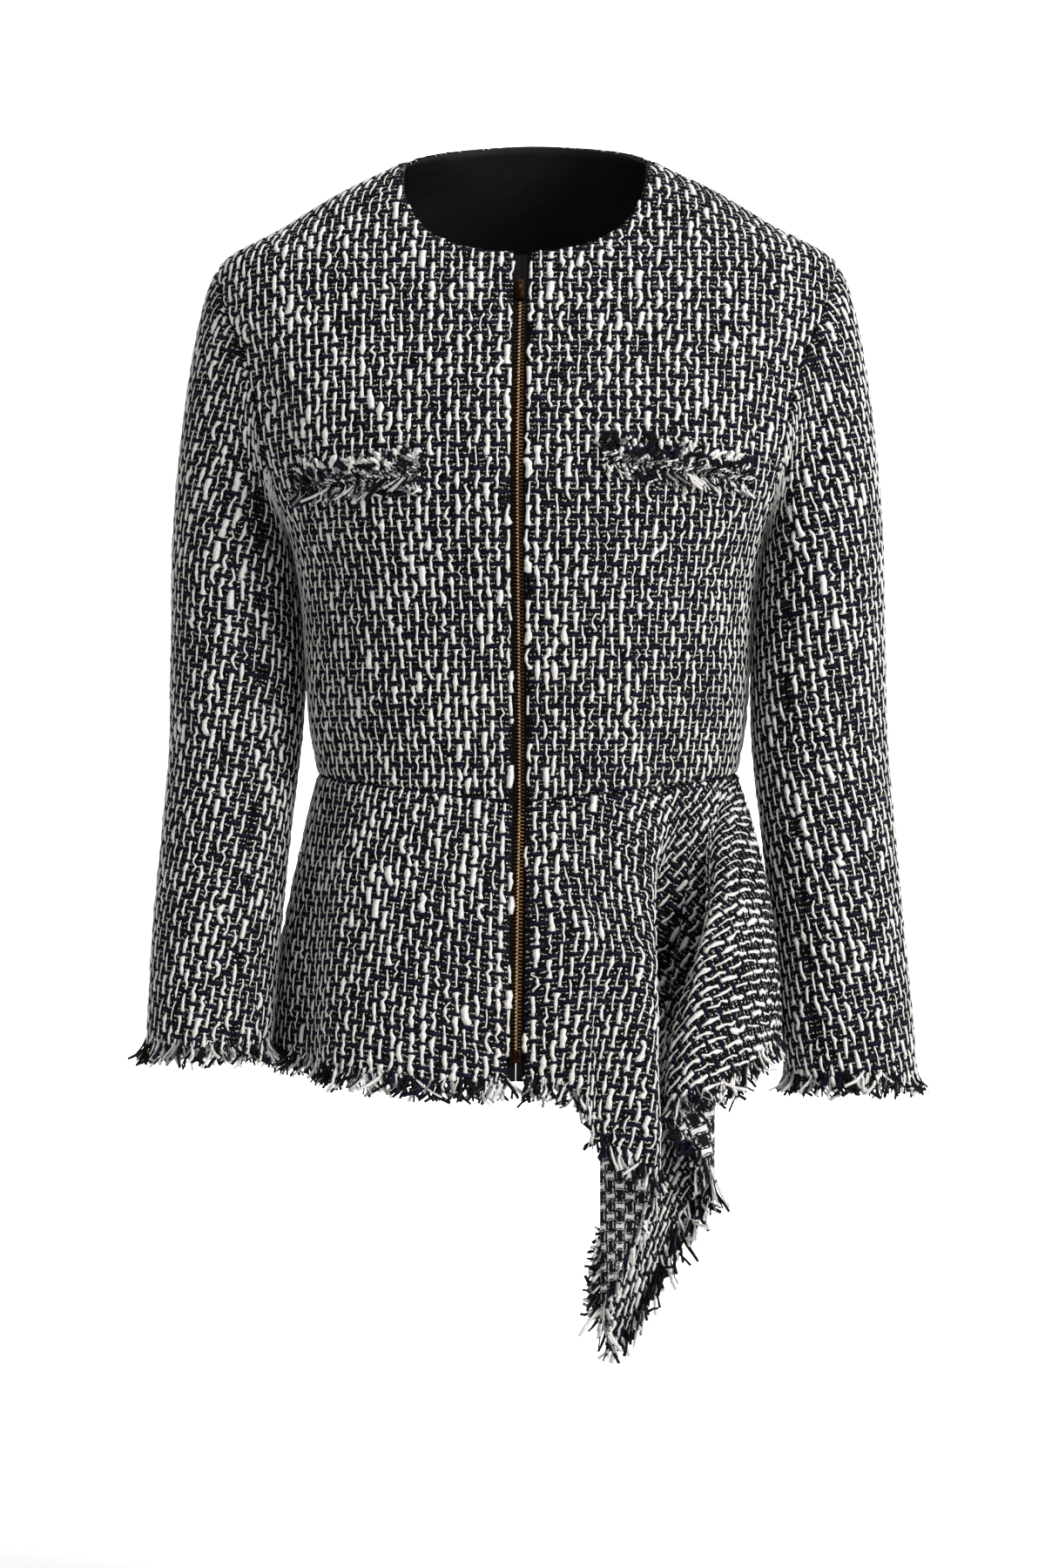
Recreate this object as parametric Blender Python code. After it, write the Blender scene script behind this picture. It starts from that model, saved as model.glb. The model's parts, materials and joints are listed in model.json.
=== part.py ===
"""A collarless cropped jacket in nubbly cotton cloth, worn open-hollow: fitted bodice, waist seam, peplum
with a draped left front, set-in sleeves, exposed zip, two frayed pocket strips and frayed edges.

Metres, +Z up, the front faces -Y, the wearer's left is +X. The origin lies at mid-shoulder height on the
body's middle line, in the plane of the shoulder seams.
"""
import math

import bmesh
import bpy
import numpy as np

# Cloth
WALL = 0.0018            # the cloth's thickness
SEAM = 0.0003            # the gap at a seam
FACING = 0.0012          # the neck facing's thickness

# Levels and openings of the bodice
UNDERARM_Z = -0.200
TIP_Z = -0.034           # the shoulder seam's outer end
NECK_SIDE_Z = 0.033      # the shoulder seam's inner end
NECK_HALF = 0.077        # half the neck opening's width
NECK_DROP = 0.064        # the front neck below the shoulder seam's inner end
NECK_ROUND = 2.6         # how square the front neckline is
NECK_RISE = 0.017        # the back neck above the shoulder seam's inner end
WAIST_FRONT_Z = -0.372
WAIST_SIDE_Z = -0.353
ARMHOLE_FRONT = math.radians(29)   # how far round the body the armhole reaches
ARMHOLE_BACK = math.radians(26)
ARMHOLE_ROUND = 2.2

# Zip
ZIP_GAP = 0.0094         # between the two front edges
CHAIN_WIDE, CHAIN_THICK = 0.0066, 0.0020
TAPE_REACH, TAPE_THICK = 0.0090, 0.0008
CHAIN_TOP_Z, CHAIN_END_Z = -0.064, -0.5205
SLIDER_TOP_Z, SLIDER_END_Z = -0.0495, -0.0636
BOX_TOP_Z, BOX_END_Z = -0.5211, -0.5285

# Frayed edges
STRIP = 0.0040           # the backing that the locks grow from
LOCK = 0.0095            # a lock's mean length

# Counts
SIDE_ROWS, ARM_ROWS, SHOULDER_ROWS = 7, 12, 7
FRONT_COLS, BACK_COLS = 10, 8

# The body's level sections: level, half width, front and back depth, squareness of front and back
BODY = np.array((
    (0.056, 0.053, 0.040, 0.055, 2.20, 2.20),
    (0.045, 0.064, 0.045, 0.060, 2.20, 2.20),
    (0.033, 0.077, 0.050, 0.067, 2.20, 2.20),
    (0.012, 0.119, 0.058, 0.079, 2.20, 2.30),
    (-0.008, 0.152, 0.066, 0.090, 2.20, 2.30),
    (-0.034, 0.195, 0.077, 0.099, 2.20, 2.30),
    (-0.064, 0.200, 0.090, 0.104, 2.20, 2.30),
    (-0.100, 0.191, 0.105, 0.107, 2.25, 2.35),
    (-0.140, 0.179, 0.117, 0.107, 2.35, 2.40),
    (-0.175, 0.164, 0.122, 0.105, 2.40, 2.40),
    (-0.200, 0.151, 0.121, 0.102, 2.40, 2.40),
    (-0.225, 0.1445, 0.117, 0.099, 2.40, 2.40),
    (-0.260, 0.1405, 0.110, 0.095, 2.40, 2.40),
    (-0.300, 0.1385, 0.104, 0.091, 2.40, 2.40),
    (-0.325, 0.1365, 0.101, 0.089, 2.35, 2.35),
    (-0.355, 0.1315, 0.099, 0.088, 2.30, 2.30),
    (-0.380, 0.1310, 0.099, 0.089, 2.30, 2.30),
))

# The sleeves below the cap: level, middle across and fore-aft, half width, half depth
SLEEVE_RIGHT = np.array((
    (-0.228, 0.1858, 0.000, 0.0390, 0.0570),
    (-0.260, 0.1839, -0.002, 0.0409, 0.0550),
    (-0.300, 0.1831, -0.007, 0.0419, 0.0525),
    (-0.340, 0.1842, -0.014, 0.0406, 0.0500),
    (-0.390, 0.1876, -0.032, 0.0396, 0.0475),
    (-0.450, 0.1911, -0.053, 0.0393, 0.0455),
    (-0.500, 0.1930, -0.068, 0.0384, 0.0440),
    (-0.521, 0.1938, -0.073, 0.0380, 0.0435),
))
SLEEVE_LEFT = np.array((
    (-0.228, 0.1855, 0.000, 0.0387, 0.0570),
    (-0.260, 0.1838, 0.000, 0.0408, 0.0550),
    (-0.300, 0.1833, -0.002, 0.0421, 0.0525),
    (-0.340, 0.1846, -0.005, 0.0421, 0.0500),
    (-0.390, 0.1895, -0.013, 0.0414, 0.0475),
    (-0.450, 0.1955, -0.021, 0.0407, 0.0455),
    (-0.510, 0.2009, -0.029, 0.0409, 0.0440),
    (-0.541, 0.2033, -0.032, 0.0409, 0.0435),
))

# The peplum's hem: degrees round the waist from the side seam, across, fore-aft, level
HEM_RIGHT = np.array((
    (88.4, 0.0047, -0.1440, -0.541),
    (70.0, 0.0450, -0.1470, -0.540),
    (52.0, 0.0880, -0.1400, -0.536),
    (40.0, 0.1160, -0.1215, -0.533),
    (33.0, 0.1260, -0.0960, -0.530),
    (20.0, 0.1500, -0.0620, -0.526),
    (8.0, 0.1610, -0.0260, -0.520),
    (0.0, 0.1535, 0.0060, -0.516),
))
HEM_BACK = np.array((
    (0.0, 0.1535, 0.0060, -0.516),
    (14.0, 0.1525, 0.0400, -0.518),
    (30.0, 0.1350, 0.0790, -0.520),
    (46.0, 0.1050, 0.1100, -0.521),
    (62.0, 0.0740, 0.1205, -0.522),
    (76.0, 0.0390, 0.1350, -0.522),
    (90.0, 0.0000, 0.1330, -0.522),
))
# The draped left front: two folds lie over a long middle layer that ends in a hanging corner
HEM_LEFT = np.array((
    (88.4, 0.0047, -0.1440, -0.541),
    (79.0, 0.0280, -0.1490, -0.542),
    (73.0, 0.0430, -0.1530, -0.550),
    (67.0, 0.0500, -0.1555, -0.570),
    (61.0, 0.0710, -0.1580, -0.585),
    (55.5, 0.0870, -0.1560, -0.594),
    (50.5, 0.0840, -0.1475, -0.604),
    (47.0, 0.0715, -0.1420, -0.632),
    (44.0, 0.0590, -0.1390, -0.662),
    (41.5, 0.0525, -0.1320, -0.684),
    (39.0, 0.0590, -0.1255, -0.696),
    (36.5, 0.0810, -0.1220, -0.662),
    (33.5, 0.1000, -0.1170, -0.622),
    (30.5, 0.1180, -0.1180, -0.600),
    (28.0, 0.1150, -0.1280, -0.590),
    (25.5, 0.1000, -0.1320, -0.571),
    (22.5, 0.0905, -0.1390, -0.555),
    (19.0, 0.1010, -0.1450, -0.549),
    (15.0, 0.1240, -0.1320, -0.543),
    (11.0, 0.1490, -0.1010, -0.525),
    (6.0, 0.1590, -0.0580, -0.516),
    (0.0, 0.1535, 0.0060, -0.516),
))

DRAPE_TURNS = (8, 19, 58, 76)   # degrees between which the folds lie
VALLEY_TURNS = (22, 30, 46, 58) # degrees between which the middle layer stays back
SETTLE_DROP = 0.060             # within this of the waist the cloth's wall eases to its folds
FULL_DROP = 0.200               # below the waist by this much the folds hang straight
FLARE_TURNS = (1.5, 7, 13, 20)

# The pocket strips: across from, to; level at the inner end, at the outer end
POCKET_RIGHT = (0.0590, 0.1400, -0.1680, -0.1760)
POCKET_LEFT = (0.0510, 0.1400, -0.1600, -0.1710)
POCKET_BAND = 0.0080
POCKET_CELLS = 19
POCKET_THICK = 0.0012
POCKET_OFF = 0.0005

ARM_TURN = np.linspace(math.pi, 0, ARM_ROWS + 1)      # from the underarm to the shoulder tip
ARM_MID = (UNDERARM_Z + TIP_Z) / 2
ARM_TALL = (TIP_Z - UNDERARM_Z) / 2
UNDER_SEAM = 8                                        # the sleeve seams, in armhole steps from the top


def smooth(x, xs, ys):
    """A curve through rows (xs rising, ys), without overshoot; straight past its ends."""
    xs, ys, x = np.asarray(xs, float), np.asarray(ys, float), np.asarray(x, float)
    rise = np.diff(ys) / np.diff(xs)
    slope = np.concatenate((rise[:1], (rise[:-1] + rise[1:]) / 2, rise[-1:]))
    turn = rise[:-1] * rise[1:] <= 0
    slope[1:-1] = np.where(turn, 0, np.clip(np.abs(slope[1:-1]), 0, 3 * np.minimum(np.abs(rise[:-1]),
                           np.abs(rise[1:]))) * np.sign(slope[1:-1]))
    i = np.clip(np.searchsorted(xs, x) - 1, 0, len(xs) - 2)
    h, u = xs[i + 1] - xs[i], (x - xs[i]) / (xs[i + 1] - xs[i])
    v = np.clip(u, 0, 1)
    y = (ys[i] * (1 + 2 * v) * (1 - v) ** 2 + ys[i + 1] * v * v * (3 - 2 * v)
         + h * (slope[i] * v * (1 - v) ** 2 - slope[i + 1] * v * v * (1 - v)))
    return y + h * (u - v) * np.where(u > 1, slope[i + 1], slope[i])


def flowing(x, xs, ys):
    """A rounded curve through rows that may turn back."""
    xs, ys, x = np.asarray(xs, float), np.asarray(ys, float), np.asarray(x, float)
    rise = np.diff(ys) / np.diff(xs)
    step = np.diff(xs)
    inner = (rise[:-1] * step[1:] + rise[1:] * step[:-1]) / (step[:-1] + step[1:])
    slope = np.concatenate((rise[:1], inner, rise[-1:]))
    i = np.clip(np.searchsorted(xs, x) - 1, 0, len(xs) - 2)
    h, v = step[i], (x - xs[i]) / step[i]
    return (ys[i] * (1 + 2 * v) * (1 - v) ** 2 + ys[i + 1] * v * v * (3 - 2 * v)
            + h * (slope[i] * v * (1 - v) ** 2 - slope[i + 1] * v * v * (1 - v)))


def unit(v):
    return v / np.maximum(np.linalg.norm(v, axis=-1, keepdims=True), 1e-12)


def body_sizes(z):
    return [smooth(z, BODY[::-1, 0], BODY[::-1, c]) for c in range(1, 6)]


def body(turn, z, back=False):
    """The body's surface on the wearer's left: turn is 0 at the side seam and 90 degrees in the middle."""
    half, front, rear, front_n, rear_n = body_sizes(z)
    deep, n = (rear, rear_n) if back else (-front, front_n)
    c, s = np.maximum(np.cos(turn), 0), np.sin(turn)
    pull = (c ** n + np.abs(s) ** n) ** (-1 / n)
    return np.stack(np.broadcast_arrays(half * pull * c, deep * pull * s, z), -1)


def turn_at(x, z):
    """The turn on the front at which the body is x wide."""
    half, _, _, n, _ = body_sizes(z)
    return np.arctan(np.maximum((x / half) ** -n - 1, 0) ** (1 / n))


def normals(surface, u, v, du=1e-4, dv=1e-5):
    """Unit normals of surface(u, v) by small differences, pointing away from the body's middle line."""
    along = surface(u + du, v) - surface(u - du, v)
    down = surface(u, v + dv) - surface(u, v - dv)
    return unit(np.cross(along, down))


def armhole(turn, back=False):
    """An armhole's edge in the body's own turn and level; turn 0 is the shoulder tip."""
    c, s = np.cos(turn), np.maximum(np.sin(turn), 0)
    z = ARM_MID + ARM_TALL * np.sign(c) * np.abs(c) ** (2 / ARMHOLE_ROUND)
    return (ARMHOLE_BACK if back else ARMHOLE_FRONT) * s ** (2 / ARMHOLE_ROUND), z


def outer_edge(back=False):
    """The side seam, the armhole and the shoulder seam, from the waist up: turn and level of each row."""
    side = np.linspace(WAIST_SIDE_Z, UNDERARM_Z, SIDE_ROWS + 1)[:-1]
    arm_turn, arm_z = armhole(ARM_TURN, back)
    top = np.linspace(TIP_Z, NECK_SIDE_Z, SHOULDER_ROWS + 1)[1:]
    return (np.concatenate((0 * side, arm_turn, 0 * top)), np.concatenate((side, arm_z, top)))


def neckline(turn):
    """The front neckline's level at a turn on the body."""
    a = np.linspace(0, math.pi / 2, 400)
    x = NECK_HALF * np.cos(a) ** (2 / NECK_ROUND)
    z = NECK_SIDE_Z - NECK_DROP * np.sin(a) ** (2 / NECK_ROUND)
    t = turn_at(np.maximum(x, 1e-6), z)
    return np.interp(turn, t, z)


def waist_z(turn, back=False):
    """The waist seam's level: it dips towards the middle front."""
    share = np.clip(1 - turn / (math.pi / 2), 0, 1)
    dip = 0 if back else WAIST_FRONT_Z - WAIST_SIDE_Z
    return WAIST_SIDE_Z + dip * (1 - share - 0.5 * share * (1 - share))


def bodice_rows(back=False, cols=FRONT_COLS):
    """Turn and level of a panel's grid: rows from the waist up, columns from the middle outwards."""
    edge_turn, edge_z = outer_edge(back)
    n = len(edge_z)
    k = np.array([0, SIDE_ROWS, SIDE_ROWS + ARM_ROWS, n - 1])
    if back:
        mid_z = smooth(np.arange(n), k, (WAIST_SIDE_Z, -0.215, -0.085, NECK_SIDE_Z + NECK_RISE))
    else:
        mid_z = smooth(np.arange(n), k, (WAIST_FRONT_Z, -0.226, -0.108, NECK_SIDE_Z - NECK_DROP))
    s = np.linspace(0, 1, cols + 1)[None]
    mid_turn = np.full(n, math.pi / 2) if back else turn_at(ZIP_GAP / 2, mid_z)
    turn = mid_turn[:, None] + (edge_turn - mid_turn)[:, None] * s
    if back:
        rim = NECK_SIDE_Z + NECK_RISE * np.abs(np.sin(turn[-1])) ** 0.8
    else:
        rim = neckline(turn[-1])
    rim = (rim - rim[0]) / (rim[-1] - rim[0])
    low = np.clip(np.arange(n) / SIDE_ROWS, 0, 1)[:, None]
    lift = np.clip((np.arange(n) - k[2]) / SHOULDER_ROWS, 0, 1)[:, None]
    run = (s + 0.5 * s * (1 - s)) * (1 - low) + (1 - (1 - s) ** 2.2) * low
    z = mid_z[:, None] + (edge_z - mid_z)[:, None] * (run * (1 - lift) + rim[None] * lift)
    z[0] = waist_z(turn[0], back)
    return turn, z


def flat_out(n):
    """Normals laid level, as they are shared at the waist seam."""
    return unit(n * (1, 1, 0))


def draw_in(p, n, edge, amount):
    """Moves one edge row of a grid inwards along the surface."""
    views = {"first_row": (p[0], p[1], n[0]), "last_row": (p[-1], p[-2], n[-1]),
             "first_col": (p[:, 0], p[:, 1], n[:, 0]), "last_col": (p[:, -1], p[:, -2], n[:, -1])}
    rim, inside, normal = views[edge]
    run = np.gradient(rim, axis=0)
    side = unit(np.cross(normal, run))
    side *= np.sign(np.sum(side * (inside - rim), -1, keepdims=True))
    rim += side * amount


def bodice_half(back=False, cols=FRONT_COLS):
    turn, z = bodice_rows(back, cols)
    p = body(turn, z, back)
    n = normals(lambda a, b: body(a, b, back), turn, z)
    n *= -1 if back else 1
    n *= np.sign(np.sum(n * p * (1, 1, 0), -1, keepdims=True))
    n[0] = flat_out(n[0])
    return p, n


def flip(p):
    return p * (-1, 1, 1)


def make(name, verts, faces, material):
    """One closed named solid."""
    mesh = bpy.data.meshes.new(name)
    bm = bmesh.new()
    vs = [bm.verts.new(v) for v in np.asarray(verts, float)]
    for f in faces:
        bm.faces.new([vs[i] for i in f])
    bmesh.ops.recalc_face_normals(bm, faces=bm.faces)
    bm.to_mesh(mesh)
    bm.free()
    mesh.materials.append(material)
    piece = bpy.data.objects.new(name, mesh)
    PARTS.objects.link(piece)
    return piece


def wall(name, outer, inner, material, ring=False):
    """A closed wall between two grids of the same size; a ring joins its last column to its first."""
    rows, cols = outer.shape[:2]
    idx = np.arange(rows * cols).reshape(rows, cols)
    deep = rows * cols
    far = idx + deep
    faces = []
    last = cols if ring else cols - 1
    for r in range(rows - 1):
        for c in range(last):
            d = (c + 1) % cols
            low, high = idx[r], idx[r + 1]
            for a, b, e in ((low[c], low[d], high[d]), (low[c], high[d], high[c])):
                faces += [(a, b, e), (a + deep, e + deep, b + deep)]
    for c in range(last):
        d = (c + 1) % cols
        faces.append((idx[0, c], far[0, c], far[0, d], idx[0, d]))
        faces.append((idx[-1, c], idx[-1, d], far[-1, d], far[-1, c]))
    if not ring:
        for r in range(rows - 1):
            faces.append((idx[r, 0], idx[r + 1, 0], far[r + 1, 0], far[r, 0]))
            faces.append((idx[r, -1], far[r, -1], far[r + 1, -1], idx[r + 1, -1]))
    return make(name, np.concatenate((outer.reshape(-1, 3), inner.reshape(-1, 3))), faces, material)


def fringe(name, edge, normal, inside, per_step, material, ring=False, seed=1, lean=0.20, part=SEAM):
    """A narrow strip that carries a cloth on past its edge, with a tapered lock on every second cell."""
    rng = np.random.default_rng(seed)
    away = unit(edge - inside)
    square = away if ring else unit(square_off(edge, normal, inside) * 0.35 + away)
    at = np.arange(0, (len(edge) if ring else len(edge) - 1) * per_step + (0 if ring else 1)) / per_step
    if not ring:
        at[0], at[-1] = 0.15 / per_step, at[-1] - 0.15 / per_step
    i = np.floor(at).astype(int)
    i = i if ring else np.minimum(i, len(edge) - 2)
    f = (at - i)[:, None]
    j = (i + 1) % len(edge)
    base, nrm, out, way = (g[i] * (1 - f) + g[j] * f for g in (edge, normal, away, square))
    slant = np.linalg.norm(np.cross(unit(edge[j] - edge[i]), unit(out)), axis=1, keepdims=True)
    gap = part / np.maximum(slant, 0.3)
    count = len(at)
    top, low = base + out * gap, base + out * (gap + STRIP)
    verts = [*top, *low, *(top - nrm * WALL), *(low - nrm * WALL)]
    a, b, c, d = (np.arange(count) + k * count for k in range(4))
    cells = count if ring else count - 1
    faces = []
    for k in range(cells):
        m = (k + 1) % count
        faces += [(a[k], a[m], b[m], b[k]), (c[k], d[k], d[m], c[m]), (a[k], c[k], c[m], a[m])]
        if k % 2:
            faces.append((b[k], b[m], d[m], d[k]))
            continue
        root = [verts[q] for q in (b[k], b[m], d[m], d[k])]
        mid, go = sum(root) / 4, unit(way[k] + way[m])
        sway = unit(root[1] - root[0]) * rng.uniform(-lean, lean) + nrm[k] * rng.uniform(-0.12, 0.22)
        tip = mid + unit(go + sway) * LOCK * rng.uniform(0.75, 1.3)
        q = len(verts)
        verts += [tip + (v - mid) * 0.45 for v in root]
        loop = (b[k], b[m], d[m], d[k])
        faces += [(loop[e], loop[(e + 1) % 4], q + (e + 1) % 4, q + e) for e in range(4)]
        faces.append((q, q + 1, q + 2, q + 3))
    if not ring:
        e = cells
        faces += [(a[0], b[0], d[0], c[0]), (a[e], c[e], d[e], b[e])]
    return make(name, np.array(verts), faces, material)


def square_off(edge, normal, inside):
    """The direction in the cloth that leaves its edge at a right angle."""
    away = unit(np.cross(normal, np.gradient(edge, axis=0)))
    return away * np.sign(np.sum(away * (edge - inside), -1, keepdims=True))


def bodice(cloth):
    """The two fronts and the back."""
    p, n = bodice_half()
    for edge in ("last_col", "first_row"):
        draw_in(p, n, edge, SEAM / 2)
    inner = p - n * WALL
    wall("front_left", p[:, ::-1], inner[:, ::-1], cloth)
    wall("front_right", flip(p), flip(inner), cloth)
    q, m = bodice_half(True, BACK_COLS)
    for edge in ("last_col", "first_row"):
        draw_in(q, m, edge, SEAM / 2)
    q[:, 0, 0] = 0
    m[:, 0] = unit(m[:, 0] * (0, 1, 1))
    q = np.concatenate((flip(q)[:, :0:-1], q), 1)
    m = np.concatenate((flip(m)[:, :0:-1], m), 1)
    wall("back", q, q - m * WALL, cloth)
    return p, n


def neck_facing(black):
    """A black band inside the neckline, laid on the panels' inner faces."""
    p, n = (g[:, 1:] for g in bodice_half())
    q, m = bodice_half(True, BACK_COLS)
    q[:, 0, 0] = 0
    m[:, 0] = unit(m[:, 0] * (0, 1, 1))
    rows = slice(-5, None)
    half = np.concatenate((p[rows], q[rows, -2::-1]), 1)
    half_n = np.concatenate((n[rows], m[rows, -2::-1]), 1)
    outer = np.concatenate((flip(half), half[:, -2::-1]), 1)
    nrm = np.concatenate((flip(half_n), half_n[:, -2::-1]), 1)
    near, far = outer - nrm * (WALL + SEAM), outer - nrm * (WALL + SEAM + FACING)
    wall("neck_facing", near, far, black)


def sleeve_grid(stations):
    """A left sleeve's rings from the armhole down: points and normals, each row a closed loop."""
    turn = np.concatenate((ARM_TURN[::-1], 2 * math.pi - ARM_TURN[1:-1]))
    front = turn <= math.pi + 1e-9
    edge = np.zeros((len(turn), 3))
    nrm = np.zeros_like(edge)
    for is_back, pick in ((False, front), (True, ~front)):
        t, z = armhole(np.where(turn > math.pi, 2 * math.pi - turn, turn)[pick], is_back)
        edge[pick] = body(t, z, is_back)
        n = normals(lambda a, b, k=is_back: body(a, b, k), t, z) * (-1 if is_back else 1)
        nrm[pick] = n * np.sign(np.sum(n * edge[pick] * (1, 1, 0), -1, keepdims=True))
    run = np.roll(edge, -1, 0) - np.roll(edge, 1, 0)
    into = unit(np.cross(nrm, run))
    into *= np.sign(np.sum(into * (edge.mean(0) - edge), -1, keepdims=True))
    start = edge + into * SEAM
    c, s = np.cos(turn)[:, None], np.sin(turn)[:, None]

    def ring(z, x, y, w, d):
        return np.concatenate((x + w * c, y - d * s, np.full_like(c, z)), 1)

    first = ring(*stations[0])
    low = (1 - c) / 2
    leave = unit(into + nrm * (0.25 + 0.45 * low))
    push = 0.075 * (1 - low) + 0.016 * low
    drop = np.array((0, 0, -1.0)) * (0.150 * (1 - low) + 0.026 * low)
    rings = []
    for u in (0.0, 0.10, 0.22, 0.36, 0.52, 0.68, 0.84):
        rings.append(start * (1 + 2 * u) * (1 - u) ** 2 + first * u * u * (3 - 2 * u)
                     + leave * push * u * (1 - u) ** 2 - drop * u * u * (1 - u))
    elbow = -0.40
    level = np.concatenate((np.linspace(stations[0, 0], elbow, 6),
                            np.linspace(elbow, stations[-1, 0], 4)[1:]))
    for z in level:
        rings.append(ring(z, *(smooth(z, stations[::-1, 0], stations[::-1, k]) for k in range(1, 5))))
    p = np.array(rings)
    across = np.roll(p, -1, 1) - np.roll(p, 1, 1)
    n = unit(np.cross(np.gradient(p, axis=0), across))
    n *= np.sign(np.sum(n[-1, 0] * (1, 0, 0)))
    n[0] = nrm
    n[1] = unit(n[0] * 2 + n[1])
    return p, n


def sleeve(side, stations, mirrored, cloth, fray, seed):
    """One sleeve: upper and under piece, and the frayed cuff."""
    p, n = sleeve_grid(stations)
    half = p.shape[1] // 2
    turned = (lambda g: flip(g)) if mirrored else (lambda g: g)
    seam = UNDER_SEAM
    upper = np.arange(-seam, seam + 1) % p.shape[1]
    under = np.arange(seam, 2 * half - seam + 1)
    for part, cols in (("upper", upper), ("under", under)):
        g, m = p[:, cols].copy(), n[:, cols].copy()
        for edge in ("first_col", "last_col"):
            draw_in(g, m, edge, SEAM / 2)
        wall(f"sleeve_{side}_{part}", turned(g), turned(g - m * WALL), cloth)
    fringe(f"cuff_fringe_{side}", turned(p[-1]), turned(n[-1]), turned(p[-2]), 2, fray, True, seed)


def peplum_grid(table, fine, rows, back=False, bend=1.35, late=None):
    """The peplum between the waist seam and its hem: rows down, columns along the table of its hem.

    Between the turns in late, a fold goes deep before it goes sideways.
    """
    chord = np.concatenate(((0,), np.cumsum(np.linalg.norm(np.diff(table[:, 1:], axis=0), axis=1))))
    at = np.concatenate([np.linspace(a, b, k + 1)[:-1] for a, b, k in zip(chord[:-1], chord[1:], fine)]
                        + [chord[-1:]])
    t = np.linspace(0, 1, rows + 1)

    def surface(u, v):
        turn = np.radians(smooth(u, chord, table[:, 0]))
        hem = np.stack([flowing(u, chord, table[:, k]) for k in (1, 2, 3)], -1)
        waist = body(turn, waist_z(turn, back), back)
        slow = np.interp(np.degrees(turn), late, (0, 1, 1, 0)) if late else 0
        hang = np.clip(v * np.maximum((waist - hem)[..., 2] / FULL_DROP, 1), 0, 1) if late else v
        flare = np.interp(np.degrees(turn), FLARE_TURNS, (0, 1, 1, 0)) if late else 0
        out = 1 - (1 - np.clip(hang, 0, 1)) ** (bend + flare)
        side = out * (1 - slow) + hang ** 1.9 * slow
        deep = np.interp(np.degrees(turn), VALLEY_TURNS, (0, 1, 1, 0)) if late else 0
        fore = out * (1 - deep) + np.clip(hang, 0, 1) ** 1.4 * deep
        return waist + (hem - waist) * np.stack(np.broadcast_arrays(side, fore, v), -1)

    u, v = np.meshgrid(at, t)
    inset = 1e-3
    uu, vv = np.clip(u, inset * chord[-1], (1 - inset) * chord[-1]), np.clip(v, inset, 1 - inset)
    p = surface(u, v)
    n = normals(surface, uu, vv, 1e-5, 1e-4)
    n *= np.sign(np.sum(n[0, :1] * (p[0, :1] * (1, 1, 0)), -1, keepdims=True))
    n[0] = flat_out(normals(lambda a, b: body(a, b, back),
                            np.radians(smooth(at, chord, table[:, 0])), p[0, :, 2]) * (-1 if back else 1))
    n[0] *= np.sign(np.sum(n[0] * p[0] * (1, 1, 0), -1, keepdims=True))
    if late:
        settle = np.clip((p[0, :, 2] - p[..., 2]) / SETTLE_DROP, 0, 1)[..., None]
        n = unit(n[:1] * (1 - settle) + n * settle)
        n[:, 1:-1] = unit(n[:, :-2] + 2 * n[:, 1:-1] + n[:, 2:])
    return p, n


def share_side_seam(n):
    """The peplum's two side seams use one plain normal, so that front and back meet edge to edge."""
    lean = np.linspace(0, 1, len(n))[:, None]
    n[:, -1] = unit(np.array((1.0, 0.02, 0)) * (1 - lean) + np.array((1.0, 0.0, 0.12)) * lean)


def peplum(cloth, fray):
    """The right front, the draped left front and the back, each with its frayed hem."""
    right, right_n = peplum_grid(HEM_RIGHT, (2, 2, 2, 2, 2, 2, 1), 9)
    cells = (1, 1, 1, 2, 2, 3, 2, 2, 3, 3, 2, 2, 3, 3, 2, 3, 3, 2, 2, 2, 2)
    left, left_n = peplum_grid(HEM_LEFT, cells, 14, late=DRAPE_TURNS)
    rear, rear_n = peplum_grid(HEM_BACK[::-1], (2, 2, 2, 2, 2, 1), 9, True)
    for n in (right_n, left_n, rear_n):
        share_side_seam(n)
    for p, n in ((right, right_n), (left, left_n), (rear, rear_n)):
        draw_in(p, n, "first_row", SEAM / 2)
        draw_in(p, n, "last_col", SEAM / 2)
    rear[:, 0, 0] = 0
    rear_n[:, 0] = unit(rear_n[:, 0] * (0, 1, 1))
    rear = np.concatenate((flip(rear)[:, :0:-1], rear), 1)
    rear_n = np.concatenate((flip(rear_n)[:, :0:-1], rear_n), 1)
    wall("peplum_front_right", flip(right), flip(right - right_n * WALL), cloth)
    wall("peplum_front_left", left, left - left_n * WALL, cloth)
    wall("peplum_back", rear, rear - rear_n * WALL, cloth)
    for side, p, n, turned, per, seed in (("right", right, right_n, flip, 4, 5),
                                          ("left", left, left_n, np.copy, 2, 6),
                                          ("back", rear, rear_n, np.copy, 3, 7)):
        folded = side == "left"
        fringe(f"hem_fringe_{side}", turned(p[-1]), turned(n[-1]), turned(p[-2]), per, fray, False, seed,
               0.08 if folded else 0.2, 2 * SEAM if folded else SEAM)
    return right, right_n


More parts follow.
